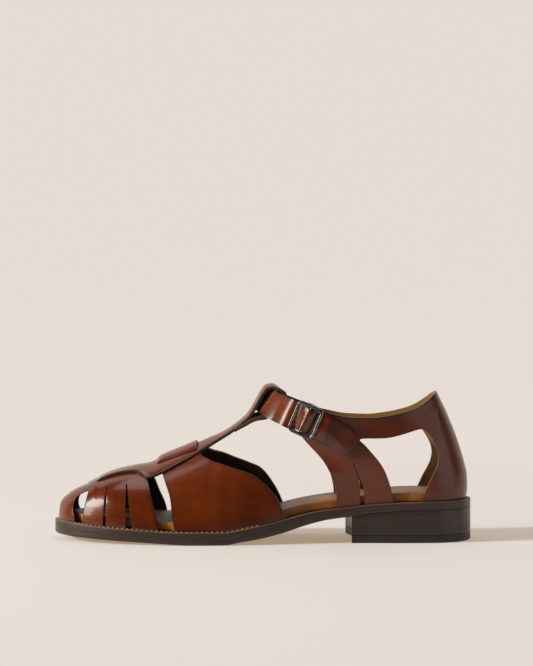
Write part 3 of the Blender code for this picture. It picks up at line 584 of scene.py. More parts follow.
def makeGrain():
    # Pores and fine wrinkles for the bump, and slow tones and streaks for the colour
    tree, given, out = nodeGroup("hideGrain", [("Pores", "Float", 1900.0), ("Tones", "Float", 38.0)],
                                 [("Height", "Float"), ("Tone", "Float"), ("Streak", "Float")])
    where = node(tree, "ShaderNodeTexCoord").outputs["Object"]
    pores = node(tree, "ShaderNodeTexVoronoi",
                 {"Vector": where, "Scale": given["Pores"], "Randomness": 0.9}).outputs["Distance"]
    height = sums(tree, "ADD", sums(tree, "MULTIPLY", pores, 0.45),
                  sums(tree, "MULTIPLY", noise(tree, where, 900.0, 6.0, 0.6), 0.5))
    wrinkle = sums(tree, "MULTIPLY", noise(tree, where, 150.0, 3.0), 0.8)
    tree.links.new(sums(tree, "ADD", height, wrinkle), out["Height"])
    tone = noise(tree, where, given["Tones"], 4.0, 0.55)
    tree.links.new(ranged(tree, tone, 0.33, 0.67), out["Tone"])
    stretched = node(tree, "ShaderNodeMapping", {"Vector": where, "Scale": (60.0, 60.0, 260.0)})
    streak = noise(tree, stretched.outputs["Vector"], 1.0, 5.0)
    tree.links.new(ranged(tree, streak, 0.35, 0.65), out["Streak"])
    return tree


def makeLayers():
    # Fine level lines, as on the cut edge of stacked or pressed leather
    tree, given, out = nodeGroup("edgeLines", [("Level", "Float", 0.0), ("Lines", "Float", 2600.0)],
                                 [("Line", "Float"), ("Speck", "Float")])
    where = node(tree, "ShaderNodeTexCoord").outputs["Object"]
    wobble = sums(tree, "MULTIPLY", noise(tree, where, 70.0, 2.0), 0.0006)
    rows = sums(tree, "MULTIPLY", sums(tree, "ADD", given["Level"], wobble), given["Lines"])
    along = node(tree, "ShaderNodeCombineXYZ", {"Z": rows})
    flow = node(tree, "ShaderNodeMapping", {"Vector": where, "Scale": (25.0, 25.0, 0.0)})
    together = node(tree, "ShaderNodeVectorMath", {0: along.outputs["Vector"], 1: flow.outputs["Vector"]},
                    operation="ADD")
    lines = noise(tree, together.outputs["Vector"], 1.0, 3.0)
    tree.links.new(ranged(tree, lines, 0.35, 0.65), out["Line"])
    tree.links.new(ranged(tree, noise(tree, where, 700.0, 2.0), 0.62, 0.74), out["Speck"])
    return tree


groups = {"grain": makeGrain(), "lines": makeLayers()}


def grouped(tree, name, **sockets):
    made = tree.nodes.new("ShaderNodeGroup")
    made.node_tree = groups[name]
    for title, value in sockets.items():
        if isinstance(value, bpy.types.NodeSocket):
            tree.links.new(value, made.inputs[title])
        else:
            made.inputs[title].default_value = value
    return made.outputs


def attribute(tree, name):
    return node(tree, "ShaderNodeAttribute", attribute_name=name).outputs["Fac"]


def newMaterial(name, roughness, coat=0.0, coatRoughness=0.1, metallic=0.0, specular=0.5):
    made = bpy.data.materials.new(name)
    made.use_nodes = True
    shader = made.node_tree.nodes["Principled BSDF"]
    settings = {"Roughness": roughness, "Coat Weight": coat, "Coat Roughness": coatRoughness,
                "Metallic": metallic, "Specular IOR Level": specular}
    for socket, value in settings.items():
        shader.inputs[socket].default_value = value
    return made, made.node_tree, shader


def withBump(tree, shader, height, strength, distance):
    bump = node(tree, "ShaderNodeBump", {"Height": height, "Strength": strength, "Distance": distance})
    tree.links.new(bump.outputs["Normal"], shader.inputs["Normal"])


def swing(tree, shader, value, roughness, limits):
    # The roughness rises with a value from 0 to 1
    low, high = roughness - limits["below"], roughness + limits["above"]
    tree.links.new(ranged(tree, value, 0, 1, low, high), shader.inputs["Roughness"])


hideShine = {"below": 0.06, "above": 0.08}  # how far the roughness swings round its value
polish = {"below": 0.04, "above": 0.06, "coatRoughness": 0.09, "tone": 0.6, "streak": 0.22, "burnish": 0.75}


def polishedLeather(name, deep, warm, dark, roughness=0.22, coat=0.35):
    # Smooth red-brown leather: darker where its burnish attribute rises towards a cut edge
    made, tree, shader = newMaterial(name, roughness, coat, polish["coatRoughness"])
    grain = grouped(tree, "grain", Pores=1900.0, Tones=38.0)
    colour = mixed(tree, sums(tree, "MULTIPLY", grain["Tone"], polish["tone"]), deep, warm)
    colour = mixed(tree, sums(tree, "MULTIPLY", grain["Streak"], polish["streak"]), colour, dark)
    burnish = attribute(tree, "burnish")
    colour = mixed(tree, sums(tree, "MULTIPLY", burnish, polish["burnish"]), colour, dark)
    tree.links.new(colour, shader.inputs["Base Color"])
    swing(tree, shader, grain["Tone"], roughness, polish)
    withBump(tree, shader, grain["Height"], 0.22, 0.0001)
    return made


def plainHide(name, light, dark, roughness, bump=0.5, pores=2600.0):
    made, tree, shader = newMaterial(name, roughness)
    grain = grouped(tree, "grain", Pores=pores, Tones=60.0)
    colour = mixed(tree, sums(tree, "MULTIPLY", grain["Tone"], 0.7), light, dark)
    colour = mixed(tree, sums(tree, "MULTIPLY", grain["Streak"], 0.25), colour, dark)
    tree.links.new(colour, shader.inputs["Base Color"])
    swing(tree, shader, grain["Tone"], roughness, hideShine)
    withBump(tree, shader, grain["Height"], bump, 0.00015)
    return made


def linedEdge(name, light, dark, roughness, level="", coat=0.15):
    # The worked edge of the sole or heel, with its fine level lines
    made, tree, shader = newMaterial(name, roughness, coat, 0.25)
    if level:
        height = attribute(tree, level)
    else:
        where = node(tree, "ShaderNodeTexCoord").outputs["Object"]
        height = node(tree, "ShaderNodeSeparateXYZ", {"Vector": where}).outputs["Z"]
    lines = grouped(tree, "lines", Level=height, Lines=2600.0)
    colour = mixed(tree, lines["Line"], light, dark)
    paler = tuple(2 * part for part in light[:3]) + (1,)
    colour = mixed(tree, sums(tree, "MULTIPLY", lines["Speck"], 0.35), colour, paler)
    tree.links.new(colour, shader.inputs["Base Color"])
    swing(tree, shader, lines["Line"], roughness, {"below": 0.07, "above": 0.1})
    withBump(tree, shader, lines["Line"], 0.4, 0.0002)
    return made


looks = {
    "leather": polishedLeather("cognacLeather", (0.070, 0.0095, 0.0003, 1), (0.118, 0.0215, 0.0008, 1),
                               (0.018, 0.0035, 0.0016, 1)),
    "counter": polishedLeather("counterLeather", (0.090, 0.0130, 0.0008, 1), (0.130, 0.0225, 0.002, 1),
                               (0.018, 0.004, 0.0022, 1), 0.32, 0.15),
    "lining": plainHide("ochreLining", (0.19, 0.10, 0.018, 1), (0.12, 0.062, 0.011, 1), 0.6),
    # Inner faces of the front straps: a dark brown flesh side, with painted shade for the inside of the
    # shoe mixed into its colour
    "darkLiningAndShade": plainHide("darkLiningAndShade", (0.050, 0.018, 0.008, 1), (0.026, 0.010, 0.005, 1), 0.6),
    "paint": plainHide("edgePaint", (0.060, 0.030, 0.020, 1), (0.024, 0.013, 0.009, 1), 0.34, 0.25),
    "insoleTop": polishedLeather("footbedTop", (0.150, 0.060, 0.018, 1), (0.215, 0.095, 0.030, 1),
                                 (0.06, 0.024, 0.010, 1), 0.5, 0.0),
    "insoleSide": plainHide("footbedSide", (0.28, 0.10, 0.008, 1), (0.16, 0.055, 0.007, 1), 0.6),
    "soleSide": linedEdge("soleEdge", (0.030, 0.0125, 0.009, 1), (0.011, 0.0055, 0.005, 1), 0.38, "layer"),
    "soleRim": plainHide("soleRim", (0.10, 0.042, 0.020, 1), (0.05, 0.021, 0.012, 1), 0.45),
    "heelStack": linedEdge("heelStack", (0.026, 0.011, 0.008, 1), (0.010, 0.0052, 0.0048, 1), 0.36),
    "rubber": linedEdge("topPieceRubber", (0.015, 0.012, 0.015, 1), (0.007, 0.006, 0.010, 1), 0.5, "", 0.0),
    "soleBottom": plainHide("soleBottom", (0.14, 0.075, 0.035, 1), (0.09, 0.05, 0.025, 1), 0.6),
    "thread": plainHide("stitchThread", (0.32, 0.18, 0.08, 1), (0.18, 0.09, 0.04, 1), 0.7, 0.8, 6000.0),
}


def gunmetal(name, light, dark, roughness):
    made, tree, shader = newMaterial(name, roughness, 0.2, 0.05, 1.0)
    where = node(tree, "ShaderNodeTexCoord").outputs["Object"]
    cloud = noise(tree, where, 420.0, 4.0)
    wear = ranged(tree, cloud, 0.4, 0.65)
    tree.links.new(mixed(tree, wear, light, dark), shader.inputs["Base Color"])
    swing(tree, shader, wear, roughness, {"below": 0.04, "above": 0.1})
    withBump(tree, shader, cloud, 0.1, 0.0001)
    return made


looks["metal"] = gunmetal("gunmetal", (0.20, 0.19, 0.20, 1), (0.11, 0.105, 0.11, 1), 0.16)
looks["brass"] = gunmetal("brassPoint", (0.62, 0.42, 0.16, 1), (0.45, 0.28, 0.10, 1), 0.25)
print("materials made")


def setAttribute(piece, name, values):
    layer = piece.data.attributes.new(name, "FLOAT", "POINT")
    layer.data.foreach_set("value", values)


def burnishRim(sheet, counts, reach):
    # Darker towards the sheet's own edges: counts are its faces each way, reach in metres
    corners = sheet.data.vertices
    columns, rows = counts[0] + 1, counts[1] + 1
    shades = []
    for k, corner in enumerate(corners):
        i, j = k % columns, k // columns
        rim = (j * columns, j * columns + columns - 1, i, (rows - 1) * columns + i)
        nearest = min((corner.co - corners[other].co).length for other in rim)
        shades.append(max(0.0, 1 - nearest / reach) ** 1.6)
    setAttribute(sheet, "burnish", shades)


def roundEdges(piece, width, segments=2):
    applyModifier(piece, "BEVEL", width=width, segments=segments, limit_method="ANGLE",
                  angle_limit=math.radians(50))


burnishReach = 0.0035


def leatherPiece(name, counts, surface, inside, slots, thickness=None, cutters=(), edge=0.0004,
                 crossing=False):
    piece = draped(name, counts, surface, inside)
    burnishRim(piece, counts, burnishReach)
    thicken(piece, thickness or shoe["leather"])
    cutOut(piece, *cutters, crossing=crossing)
    roundEdges(piece, edge)
    finishPiece(piece, slots)
    return piece


upperSlots = [looks["leather"], looks["darkLiningAndShade"], looks["paint"]]
liftOuter = 1.5 * shoe["leather"]  # the outer face of the layer that lies over the toe strap

toeFan = {"station": 0.125, "shift": 0.035, "rise": 82, "swing": 54, "underFrom": 0.074, "underOver": 0.02}


def toePoint(u, v):
    # Rays from inside the last; behind the finger band's front the strap dives under it
    start = Vector((place(toeFan["station"]), shoe["ballWidth"] * toeFan["shift"],
                    soleTop(toeTip) + shoe["gap"]))
    up = math.radians(toeFan["rise"]) * u
    side = math.tan(math.radians(toeFan["swing"]) * (2 * v - 1)) * (1 - 0.5 * u)
    direction = Vector((-math.cos(up), side, math.sin(up))).normalized()
    near, far = 0.0, shoe["soleLength"] / 3
    for _ in range(22):
        middle = (near + far) / 2
        if insideLast(start + direction * middle, 0.0):
            near = middle
        else:
            far = middle
    share = shareOf((start + direction * near).x)
    under = min(max((share - toeFan["underFrom"]) / toeFan["underOver"], 0.0), 1.0)
    return start + direction * (near + shoe["leather"] * (1 - under * under))


def heart(share, height=0.01):
    # A point inside the shoe, which tells a sheet which way is in
    return (place(share), 0, height)


toeStrap = leatherPiece("toe_strap", (90, 80), toePoint, heart(toeFan["station"], 0.02), upperSlots,
                        cutters=[sideCutter("toeHole", toeHole, shoe["instepHeight"])])
print("toe strap made")

cutEdge = 0.00045  # rounding of the cut edges
slitCutters = [sideCutter(f"fingerSlit{k}", slit, shoe["instepHeight"], 0)
               for k, slit in enumerate(fingerSlits)]
fingers = leatherPiece("finger_band", (56, 150), bandPoint(fingerEdges, liftOuter, 0.0013, 0.097),
                       heart(0.16), upperSlots, cutters=slitCutters, edge=cutEdge)
print("finger band made")

vamp = leatherPiece("vamp", (70, 190), bandPoint(vampEdges, liftOuter, 0.0010, 0.2), heart(0.38),
                    upperSlots, edge=cutEdge)
middleStrap = leatherPiece("middle_strap", (170, 30), centrePoint, heart(0.30), upperSlots)
pad = leatherPiece("vamp_pad", (32, 34), padPoint, heart(0.29), upperSlots, edge=cutEdge)
for strap in (toeStrap, fingers, vamp, middleStrap, pad):
    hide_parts("upper_front")
print("vamp, middle strap and pad made")


def quarterSurface(u, v):
    return quarterPoint(2 * u - 1, v, shoe["quarterLeather"])


quarterCutters = [sideCutter("heelWindow", heelWindow, shoe["collarHeight"]),
                  sideCutter("legSlit", legSlit, shoe["collarHeight"])]
quarter = leatherPiece("quarter", (260, 72), quarterSurface, (0.06, 0, 0.05),
                       [looks["counter"], looks["lining"], looks["paint"]],
                       thickness=shoe["quarterLeather"], cutters=quarterCutters, edge=cutEdge)
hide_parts("upper_quarter")
print("quarter made")


def bulge(distance, reach, power=2.0):
    return math.cos(math.pi * distance / (2 * reach)) ** power if abs(distance) < reach else 0.0


buckleMiddle, buckleAlong, buckleAcross, buckleOut, buckleCrown = buckleAxes()
strapEnds = (ankleForm["medialEnd"], -ankleForm["tipEnd"])  # minus is the outer side


def ankleSurface(u, v):
    # From the inner end round the instep to the free tip on the outer side
    stop = strapEnds[0] + (strapEnds[1] - strapEnds[0]) * u
    side, at = (1 if stop > 0 else -1), abs(stop)
    centre = anklePoint(at, side, 0)
    fromBar = (centre - buckleMiddle).dot(buckleAlong) if side < 0 and at > 4 else 1.0
    half = ankleForm["width"] / 2 - ankleForm["pinch"] * bulge(fromBar, buckle["along"] * 0.6)
    tip = (at - ankleForm["tipStart"]) / (10 - ankleForm["tipStart"])
    if side < 0 and tip > 0:
        half *= (1 - tip ** 3) ** (1 / 3)
    w = 2 * v - 1
    point = anklePoint(at, side, half * w)
    rise = buckle["barHeight"] + buckle["bar"] / 2 + shoe["gap"] + buckleCrown
    inside = buckle["along"] / 2 - buckle["wire"] - shoe["gap"]
    point += buckleOut * rise * bulge(fromBar, inside, 1.25)
    normal = instepOut.lerp(Vector((0, side, 0)), min(anklePath["side"](at) / 0.9, 1.0)).normalized()
    return point + normal * ankleForm["leather"] / 2


def rod(name, start, direction, radius, length, sides=32):
    bpy.ops.object.select_all(action="DESELECT")
    bpy.ops.mesh.primitive_cylinder_add(vertices=sides, radius=radius, depth=length)
    made = bpy.context.object
    made.name = name
    turn = direction.to_track_quat("Z", "Y").to_matrix().to_4x4()
    turn.translation = start + direction * length / 2
    made.data.transform(turn)
    return made


pinForm = {"hole": 0.0010, "holeDepth": 0.0088, "proud": 0.0003}
pinHole = markCutter(rod("pinHole", buckleMiddle, buckleOut, pinForm["hole"], pinForm["holeDepth"], 24))
ankleStrap = leatherPiece("ankle_strap_leather", (300, 28), ankleSurface, (0.03, 0, 0.075), upperSlots,
                          thickness=ankleForm["leather"], cutters=[pinHole], crossing=True)
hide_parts("ankle_strap")
print("ankle strap made")


def closeUp(made, nearer):
    editAll(made, lambda: bpy.ops.mesh.remove_doubles(threshold=nearer),
            lambda: bpy.ops.mesh.normals_make_consistent(inside=False))


def outwardAt(outline, i):
    ahead, behind = outline[(i + 1) % len(outline)], outline[i - 1]
    return Vector((ahead[1] - behind[1], -(ahead[0] - behind[0]), 0)).normalized()


def ringPiece(name, outline, profile, slotsByRow):
    # A flat piece of the sole: its outline run through rows of (inset, share of the way out from the
    # middle line, height, level above the bottom)
    count, rows = len(outline), len(profile) - 1
    bpy.ops.object.select_all(action="DESELECT")
    bpy.ops.mesh.primitive_grid_add(x_subdivisions=count, y_subdivisions=rows, size=2)
    made = bpy.context.object
    made.name = name
    columns = count + 1
    levels = []
    for k, corner in enumerate(made.data.vertices):
        i, j = k % columns % count, k // columns
        here, normal = outline[i], outwardAt(outline, i)
        insetAt, closing, height, level = profile[j]
        share = shareInside(here[0])
        inset = insetAt(share)
        x, y = here[0] - normal.x * inset * closing, here[1] - normal.y * inset
        y = here[2] + (y - here[2]) * closing
        corner.co = (x, y, height(share))
        levels.append(level(share))
    setAttribute(made, "layer", levels)
    addSlots(made)
    for k, face in enumerate(made.data.polygons):
        face.material_index = slotsByRow[k // count]
    closeUp(made, 0.00001)
    return made


def loopRound(shares, halfAt, skip=1):
    # Points (x, y, middle y) along the outer side and back along the inner one
    loop = [(place(s), -halfAt(s, "lateral")) for s in shares]
    loop += [(place(s), halfAt(s, "medial")) for s in reversed(shares[skip:-1])]
    return [(x, y, (halfAt(shareOf(x), "medial") - halfAt(shareOf(x), "lateral")) / 2) for x, y in loop]


def soleOutline(first, halfAt, steps):
    low, high = spread(first), 1.0
    shares = [(1 - math.cos(math.pi * (low + (high - low) * k / steps))) / 2 for k in range(steps + 1)]
    return loopRound(shares, halfAt, 1 if first <= 0 else 0)


outsoleForm = {"round": 0.0016, "rim": 0.0007, "steps": 170, "squareFrom": 0.69, "squareRound": 0.12}


def soleProfile(bottom, top, lowRound, highRound, capRows=6, squareFrom=2.0):
    # The lower edge is nearly square behind the given share of the length
    def low(s):
        return outsoleForm["squareRound"] if s > squareFrom else 1.0

    def span(s):
        return top(s) - highRound - bottom(s) - lowRound

    rows = []
    for k in range(capRows):
        rows.append((lambda s: lowRound * low(s), k / capRows, bottom, lambda s: 0.0))
    for k in range(7):
        turn = math.pi / 2 * k / 6
        inset, lift = lowRound * (1 - math.sin(turn)), lowRound * (1 - math.cos(turn))
        rows.append((lambda s, inset=inset: inset * low(s), 1.0,
                     lambda s, lift=lift: bottom(s) + lift * low(s), lambda s, lift=lift: lift * low(s)))
    for k in range(1, 5):
        rows.append((lambda s: 0.0, 1.0, lambda s, k=k: bottom(s) + lowRound + span(s) * k / 5,
                     lambda s, k=k: lowRound + span(s) * k / 5))
    for k in range(4):
        turn = math.pi / 2 * k / 3
        inset, lift = highRound * (1 - math.cos(turn)), highRound * (1 - math.sin(turn))
        rows.append((lambda s, inset=inset: inset, 1.0, lambda s, lift=lift: top(s) - lift,
                     lambda s, lift=lift: top(s) - bottom(s) - lift))
    for k in range(capRows):
        rows.append((lambda s: highRound, 1 - (k + 1) / capRows, top, lambda s: 0.0))
    return rows


def rowSlots(profile, rimFrom):
    # Below the edge, on it, and from the given row the rim and the top
    return [1 if k < 7 else (0 if k < rimFrom else 2) for k in range(len(profile))]


profile = soleProfile(soleBottom, soleTop, outsoleForm["round"], outsoleForm["rim"],
                      squareFrom=outsoleForm["squareFrom"])
outsole = ringPiece("outsole_leather", soleOutline(0.0, soleHalf, outsoleForm["steps"]), profile,
                    rowSlots(profile, 17))
finishPiece(outsole, [looks["soleSide"], looks["soleBottom"], looks["soleRim"]], 35)
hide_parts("outsole")

heelForm = {"station": 0.700, "hollow": 0.0040, "shift": 0.0045, "reach": 1.35, "edge": 0.0004,
            "round": 0.0009, "seam": 0.00005}
heelStart = heelForm["station"] - 2 * heelForm["hollow"] / shoe["soleLength"]
heelOutline = soleOutline(heelStart, soleHalf, 90)
for name, bottom, top, lowRound, look, slotName in (
        ("heel_stack", lambda s: shoe["topPiece"] + heelForm["seam"],
         lambda s: soleBottom(s) - heelForm["seam"], heelForm["edge"], "heelStack", "sole_leather"),
        ("top_piece_rubber", lambda s: 0.0, lambda s: shoe["topPiece"],
         heelForm["round"], "rubber", "rubber")):
    profile = soleProfile(bottom, top, lowRound, heelForm["edge"], 3)
    block = ringPiece(name, heelOutline, profile, [0] * len(profile))
    half = shoe["ballWidth"] / 3
    radius = (half ** 2 + heelForm["hollow"] ** 2) / (2 * heelForm["hollow"])
    bpy.ops.object.select_all(action="DESELECT")
    bpy.ops.mesh.primitive_cylinder_add(vertices=720, radius=radius, depth=2 * cutterHalf)
    breast = bpy.context.object
    middle = place(heelForm["station"]) + heelForm["reach"] * heelForm["hollow"] - radius
    breast.data.transform(Matrix.Translation((middle, -heelForm["shift"], 0)))
    cutOut(block, breast, crossing=True)
    roundEdges(block, heelForm["edge"])
    finishPiece(block, [looks[look]] * 3, 35)
    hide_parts("heel_block" if name == "heel_stack" else "top_piece")
print("outsole and heel made")

insoleTip = (shoe["toeMargin"] + 0.75 * shoe["insole"]) / shoe["soleLength"]
insoleTail = 1 - (shoe["heelMargin"] + shoe["quarterLeather"]) / shoe["soleLength"]


def insoleHalf(share, side):
    inside = (share - insoleTip) / (insoleTail - insoleTip)
    scale = 1 - 2 * (shoe["sideMargin"] + 2 * shoe["gap"]) / shoe["ballWidth"]
    return min(soleHalf(inside, side) * scale, lastHalf(share, side) - 2 * shoe["gap"])


insoleSteps = 150
insoleShares = [insoleTip + (insoleTail - insoleTip) * (1 - math.cos(math.pi * k / insoleSteps)) / 2
                for k in range(insoleSteps + 1)]
insoleOutline = loopRound(insoleShares, insoleHalf)


def insoleBase(share):
    return soleTop(share) + shoe["gap"]


insoleRound = {"low": 0.0004, "high": 0.0009}
profile = soleProfile(insoleBase, lambda s: insoleBase(s) + shoe["insole"], insoleRound["low"],
                      insoleRound["high"])
insole = ringPiece("footbed", insoleOutline, profile, rowSlots(profile, 18))
setAttribute(insole, "burnish", [0.0] * len(insole.data.vertices))
finishPiece(insole, [looks["insoleSide"], looks["insoleSide"], looks["insoleTop"]], 35)
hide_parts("insole")
print("footbed made")


def wireLoop(name, path, out, radius, sides=20):
    # A round wire along a closed path that lies square to a direction
    count = len(path)
    bpy.ops.object.select_all(action="DESELECT")
    bpy.ops.mesh.primitive_grid_add(x_subdivisions=count, y_subdivisions=sides, size=2)
    made = bpy.context.object
    made.name = name
    out = out.normalized()
    for k, corner in enumerate(made.data.vertices):
        i, j = k % (count + 1) % count, k // (count + 1)
        forward = (path[(i + 1) % count] - path[i - 1]).normalized()
        sideways = forward.cross(out).normalized()
        turn = 2 * math.pi * j / sides
        corner.co = path[i] + (out * math.cos(turn) + sideways * math.sin(turn)) * radius
    closeUp(made, 0.000005)
    return made


halfAlong = (buckle["along"] - buckle["wire"]) / 2
halfAcross = (buckle["across"] - buckle["wire"]) / 2
bend = buckle["corner"] - buckle["wire"] / 2
seat = ankleForm["leather"] / 2 + 2 * shoe["gap"] + buckle["wire"] / 2
barLift = buckle["barHeight"] - ankleForm["leather"] / 2 - shoe["gap"]
quarterTurns = ((1, 1), (-1, 1), (-1, -1), (1, -1))


def cornerSpot(q, degrees):
    # A spot of the frame's rounded corner q, level with the frame
    signU, signV = quarterTurns[q % 4]
    angle = math.radians(degrees)
    return (Vector((signU * (halfAlong - bend), signV * (halfAcross - bend)))
            + bend * Vector((math.cos(angle), math.sin(angle))))


path = []
for q in range(4):
    path += [cornerSpot(q, 90 * q + 90 * k / 12) for k in range(13)]
    ahead = cornerSpot(q + 1, 90 * (q + 1))
    path += [path[-1].lerp(ahead, k / 8) for k in range(1, 8)]
wirePath = [buckleMiddle + buckleAlong * s.x + buckleAcross * s.y + buckleOut * seat for s in path]
buckleRing = wireLoop("buckle_ring", wirePath, buckleOut, buckle["wire"] / 2)
finishPiece(buckleRing, [looks["metal"]], 50)
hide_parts("buckle_frame")
bar = rod("buckle_bar", buckleMiddle + buckleOut * barLift - buckleAcross * halfAcross, buckleAcross,
          buckle["bar"] / 2, 2 * halfAcross)
finishPiece(bar, [looks["metal"]], 50)
pin = rod("buckle_pin", buckleMiddle + buckleOut * barLift, buckleOut, buckle["pin"] / 2,
          buckle["bar"] / 2 + 3 * shoe["gap"] + ankleForm["leather"] + pinForm["proud"])
roundEdges(pin, pinForm["proud"], 3)
finishPiece(pin, [looks["brass"]], 50)
print("buckle made")

stitch = {"inset": 0.0017, "pitch": 0.0031, "length": 0.0022, "width": 0.0008, "height": 0.0007,
          "last": 0.50, "above": 0.00012, "loopAbove": 0.0001}


def stitchRow(name, spots):
    # One rounded stitch, copied along a list of (place, direction, up)
    bpy.ops.object.select_all(action="DESELECT")
    bpy.ops.mesh.primitive_uv_sphere_add(segments=10, ring_count=6, radius=0.5)
    first = bpy.context.object
    first.name = name
    copies = []
    for point, forward, up in spots:
        sideways = forward.cross(up).normalized()
        turn = Matrix((forward * stitch["length"], sideways * stitch["width"],
                       up * stitch["height"])).transposed()
        copy = first.copy()
        copy.data = first.data.copy()
        bpy.context.collection.objects.link(copy)
        copy.data.transform(Matrix.Translation(point) @ turn.to_4x4())
        copies.append(copy)
    bpy.data.objects.remove(first, do_unlink=True)
    bpy.ops.object.select_all(action="DESELECT")
    for copy in copies:
        copy.select_set(True)
    bpy.context.view_layer.objects.active = copies[0]
    bpy.ops.object.join()
    row = bpy.context.object
    row.name = name
    return row


def alongOutline(outline, inset, pitch, lastShare):
    # Places at an even pitch on the top of the sole, set in from its edge
    spots, travelled, before = [], 0.0, None
    for i, here in enumerate(outline):
        normal = outwardAt(outline, i)
        point = Vector((here[0] - normal.x * inset, here[1] - normal.y * inset,
                        soleTop(shareInside(here[0])) + stitch["above"]))
        if before is not None:
            step = (point - before).length
            while step > 0 and travelled + step >= pitch:
                part = (pitch - travelled) / step
                spot = before.lerp(point, part)
                if shareOf(spot.x) < lastShare:
                    spots.append((spot, (point - before).normalized(), Vector((0, 0, 1))))
                before, step, travelled = spot, step * (1 - part), 0.0
            travelled += step
        before = point
    return spots


soleStitches = stitchRow("sole_stitches", alongOutline(soleOutline(0.0, soleHalf, 400), stitch["inset"],
                                                       stitch["pitch"], stitch["last"]))
finishPiece(soleStitches, [looks["thread"]], 60)
loopSpots = []
for at in (2.3, 3.1):  # places along the T-bar's rows
    u = 0.5 + at / (2 * tBarRows)
    here, ahead = centrePoint(u, 0.2), centrePoint(u, 0.3)
    down = centrePoint(u + 0.01, 0.2)
    forward = (ahead - here).normalized()
    up = forward.cross((down - here).normalized()).normalized()
    if up.x > 0:
        up.negate()
    loopSpots.append((here + up * stitch["loopAbove"], forward, up))
loopStitches = stitchRow("loop_stitches", loopSpots)
finishPiece(loopStitches, [looks["thread"]], 60)
print("stitches made")

# A seamless pale ground that runs up into the backdrop
ground = {"near": -4.5, "bend": 1.1, "radius": 0.5, "height": 2.6, "half": 4.0, "flatTo": 0.4,
          "curveTo": 0.8}
paperLook = {"lit": (0.31, 0.33, 0.365, 1), "glow": (0.356, 0.274, 0.191, 1),
             "farGlow": (0.783, 0.708, 0.644, 1), "black": (0.0, 0.0, 0.0, 1),
             "farFrom": 0.15, "farTo": 0.9, "frontFrom": -0.46, "frontTo": -0.60}
bpy.ops.object.select_all(action="DESELECT")
bpy.ops.mesh.primitive_grid_add(x_subdivisions=4, y_subdivisions=40, size=2)
backdrop = bpy.context.object
backdrop.name = "backdrop"
for corner in backdrop.data.vertices:
    share = (corner.co.y + 1) / 2
    x = corner.co.x * ground["half"]
    if share < ground["flatTo"]:
        y, z = ground["near"] + (ground["bend"] - ground["near"]) * share / ground["flatTo"], 0
    elif share < ground["curveTo"]:
        turn = math.pi / 2 * (share - ground["flatTo"]) / (ground["curveTo"] - ground["flatTo"])
        y, z = ground["bend"] + ground["radius"] * math.sin(turn), ground["radius"] * (1 - math.cos(turn))
    else:
        y = ground["bend"] + ground["radius"]
        z = ground["radius"] + ground["height"] * (share - ground["curveTo"]) / (1 - ground["curveTo"])
    corner.co = (x, y, z)
paper, paperTree, paperShader = newMaterial("backdropPaper", 0.9, specular=0.1)
paperShader.inputs["Emission Strength"].default_value = 1.0
paperSpot = node(paperTree, "ShaderNodeTexCoord").outputs["Object"]
depth = node(paperTree, "ShaderNodeSeparateXYZ", {"Vector": paperSpot}).outputs["Y"]


def depthMask(start, stop):
    made = node(paperTree, "ShaderNodeMapRange", {"Value": depth, "From Min": start, "From Max": stop},
                interpolation_type="SMOOTHSTEP")
    return made.outputs["Result"]


far = depthMask(paperLook["farFrom"], paperLook["farTo"])
# The dark front only keeps glare out of the leather: a camera that looks that way sees plain floor
seen = node(paperTree, "ShaderNodeLightPath").outputs["Is Camera Ray"]
unseen = sums(paperTree, "MULTIPLY", depthMask(paperLook["frontFrom"], paperLook["frontTo"]),
              sums(paperTree, "SUBTRACT", 1.0, seen))
black = paperLook["black"]
lit = mixed(paperTree, far, paperLook["lit"], black)
glow = mixed(paperTree, far, paperLook["glow"], paperLook["farGlow"])
paperTree.links.new(mixed(paperTree, unseen, lit, black), paperShader.inputs["Base Color"])
paperTree.links.new(mixed(paperTree, unseen, glow, black), paperShader.inputs["Emission Color"])
backdrop.data.materials.append(paper)
only(backdrop)
bpy.ops.object.shade_smooth()

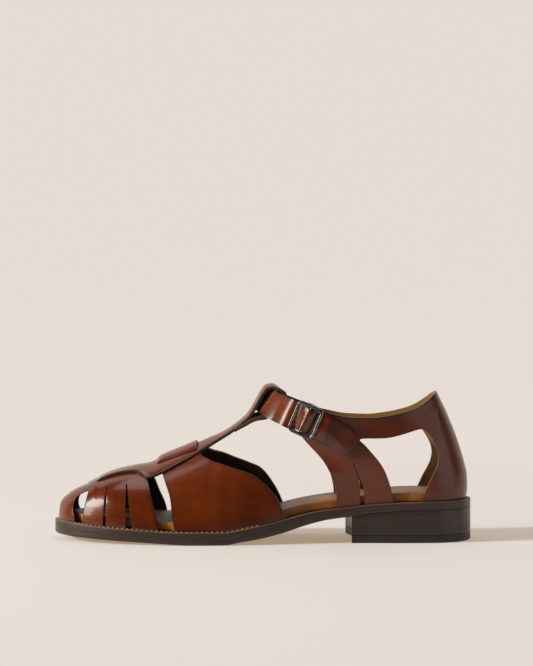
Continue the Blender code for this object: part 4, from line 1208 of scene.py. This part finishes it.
sunlight = {"from": (-0.97, -0.24, 0.364), "strength": 5.5, "spread": 3.0, "colour": (1.0, 0.965, 0.92)}
bpy.ops.object.light_add(type="SUN", location=(-1.0, -0.4, 0.4))
sun = bpy.context.object
sun.name = "sun"
sun.data.energy = sunlight["strength"]
sun.data.angle = math.radians(sunlight["spread"])
sun.visible_glossy = False
sun.data.color = sunlight["colour"]
sun.rotation_euler = Vector(sunlight["from"]).to_track_quat("Z", "Y").to_euler()

lamps = {
    "softbox": {"at": (-1.35, -0.45, 1.0), "to": (0.0, 0.0, 0.04), "size": (0.6, 0.5), "power": 12,
                "colour": (1.0, 0.95, 0.88)},
    "window": {"at": (-1.5, -0.40, 0.52), "to": (0.0, 0.0, 0.07), "size": (0.7, 0.5), "power": 8,
               "colour": (1.0, 0.94, 0.86)},
    "card": {"at": (1.0, -0.6, 0.35), "to": (0.0, 0.0, 0.05), "size": (0.9, 0.7), "power": 2.2,
             "colour": (1.0, 0.84, 0.78)},
    "top": {"at": (0.1, 0.2, 1.8), "to": (0.0, 0.0, 0.0), "size": (1.6, 1.2), "power": 9,
            "colour": (0.98, 0.96, 1.0)},
}
for name, lamp in lamps.items():
    bpy.ops.object.light_add(type="AREA", location=lamp["at"])
    light = bpy.context.object
    light.name = name
    light.data.shape = "RECTANGLE"
    light.data.size, light.data.size_y = lamp["size"]
    light.data.energy = lamp["power"]
    light.data.color = lamp["colour"]
    light.rotation_euler = (Vector(lamp["to"]) - Vector(lamp["at"])).to_track_quat("-Z", "Y").to_euler()

studio = {"colour": (0.93, 0.90, 0.92, 1), "strength": 0.04}
world = bpy.data.worlds.new("studio")
bpy.context.scene.world = world
world.use_nodes = True
world.node_tree.nodes["Background"].inputs["Color"].default_value = studio["colour"]
world.node_tree.nodes["Background"].inputs["Strength"].default_value = studio["strength"]

# Level, square to the outer side, from a little above the height of the shoe
cameraSet = {"at": (0.0025, -1.1, 0.1292), "sensor": 36, "lens": 94.2, "near": 0.01}
bpy.ops.object.camera_add(location=cameraSet["at"], rotation=(math.radians(90), 0, 0))
camera = bpy.context.object
camera.data.sensor_width = cameraSet["sensor"]
camera.data.lens = cameraSet["lens"]
camera.data.clip_start = cameraSet["near"]
bpy.context.scene.camera = camera
bpy.context.scene.view_settings.view_transform = "Standard"
bpy.context.scene.view_settings.look = "None"

print("scene done")
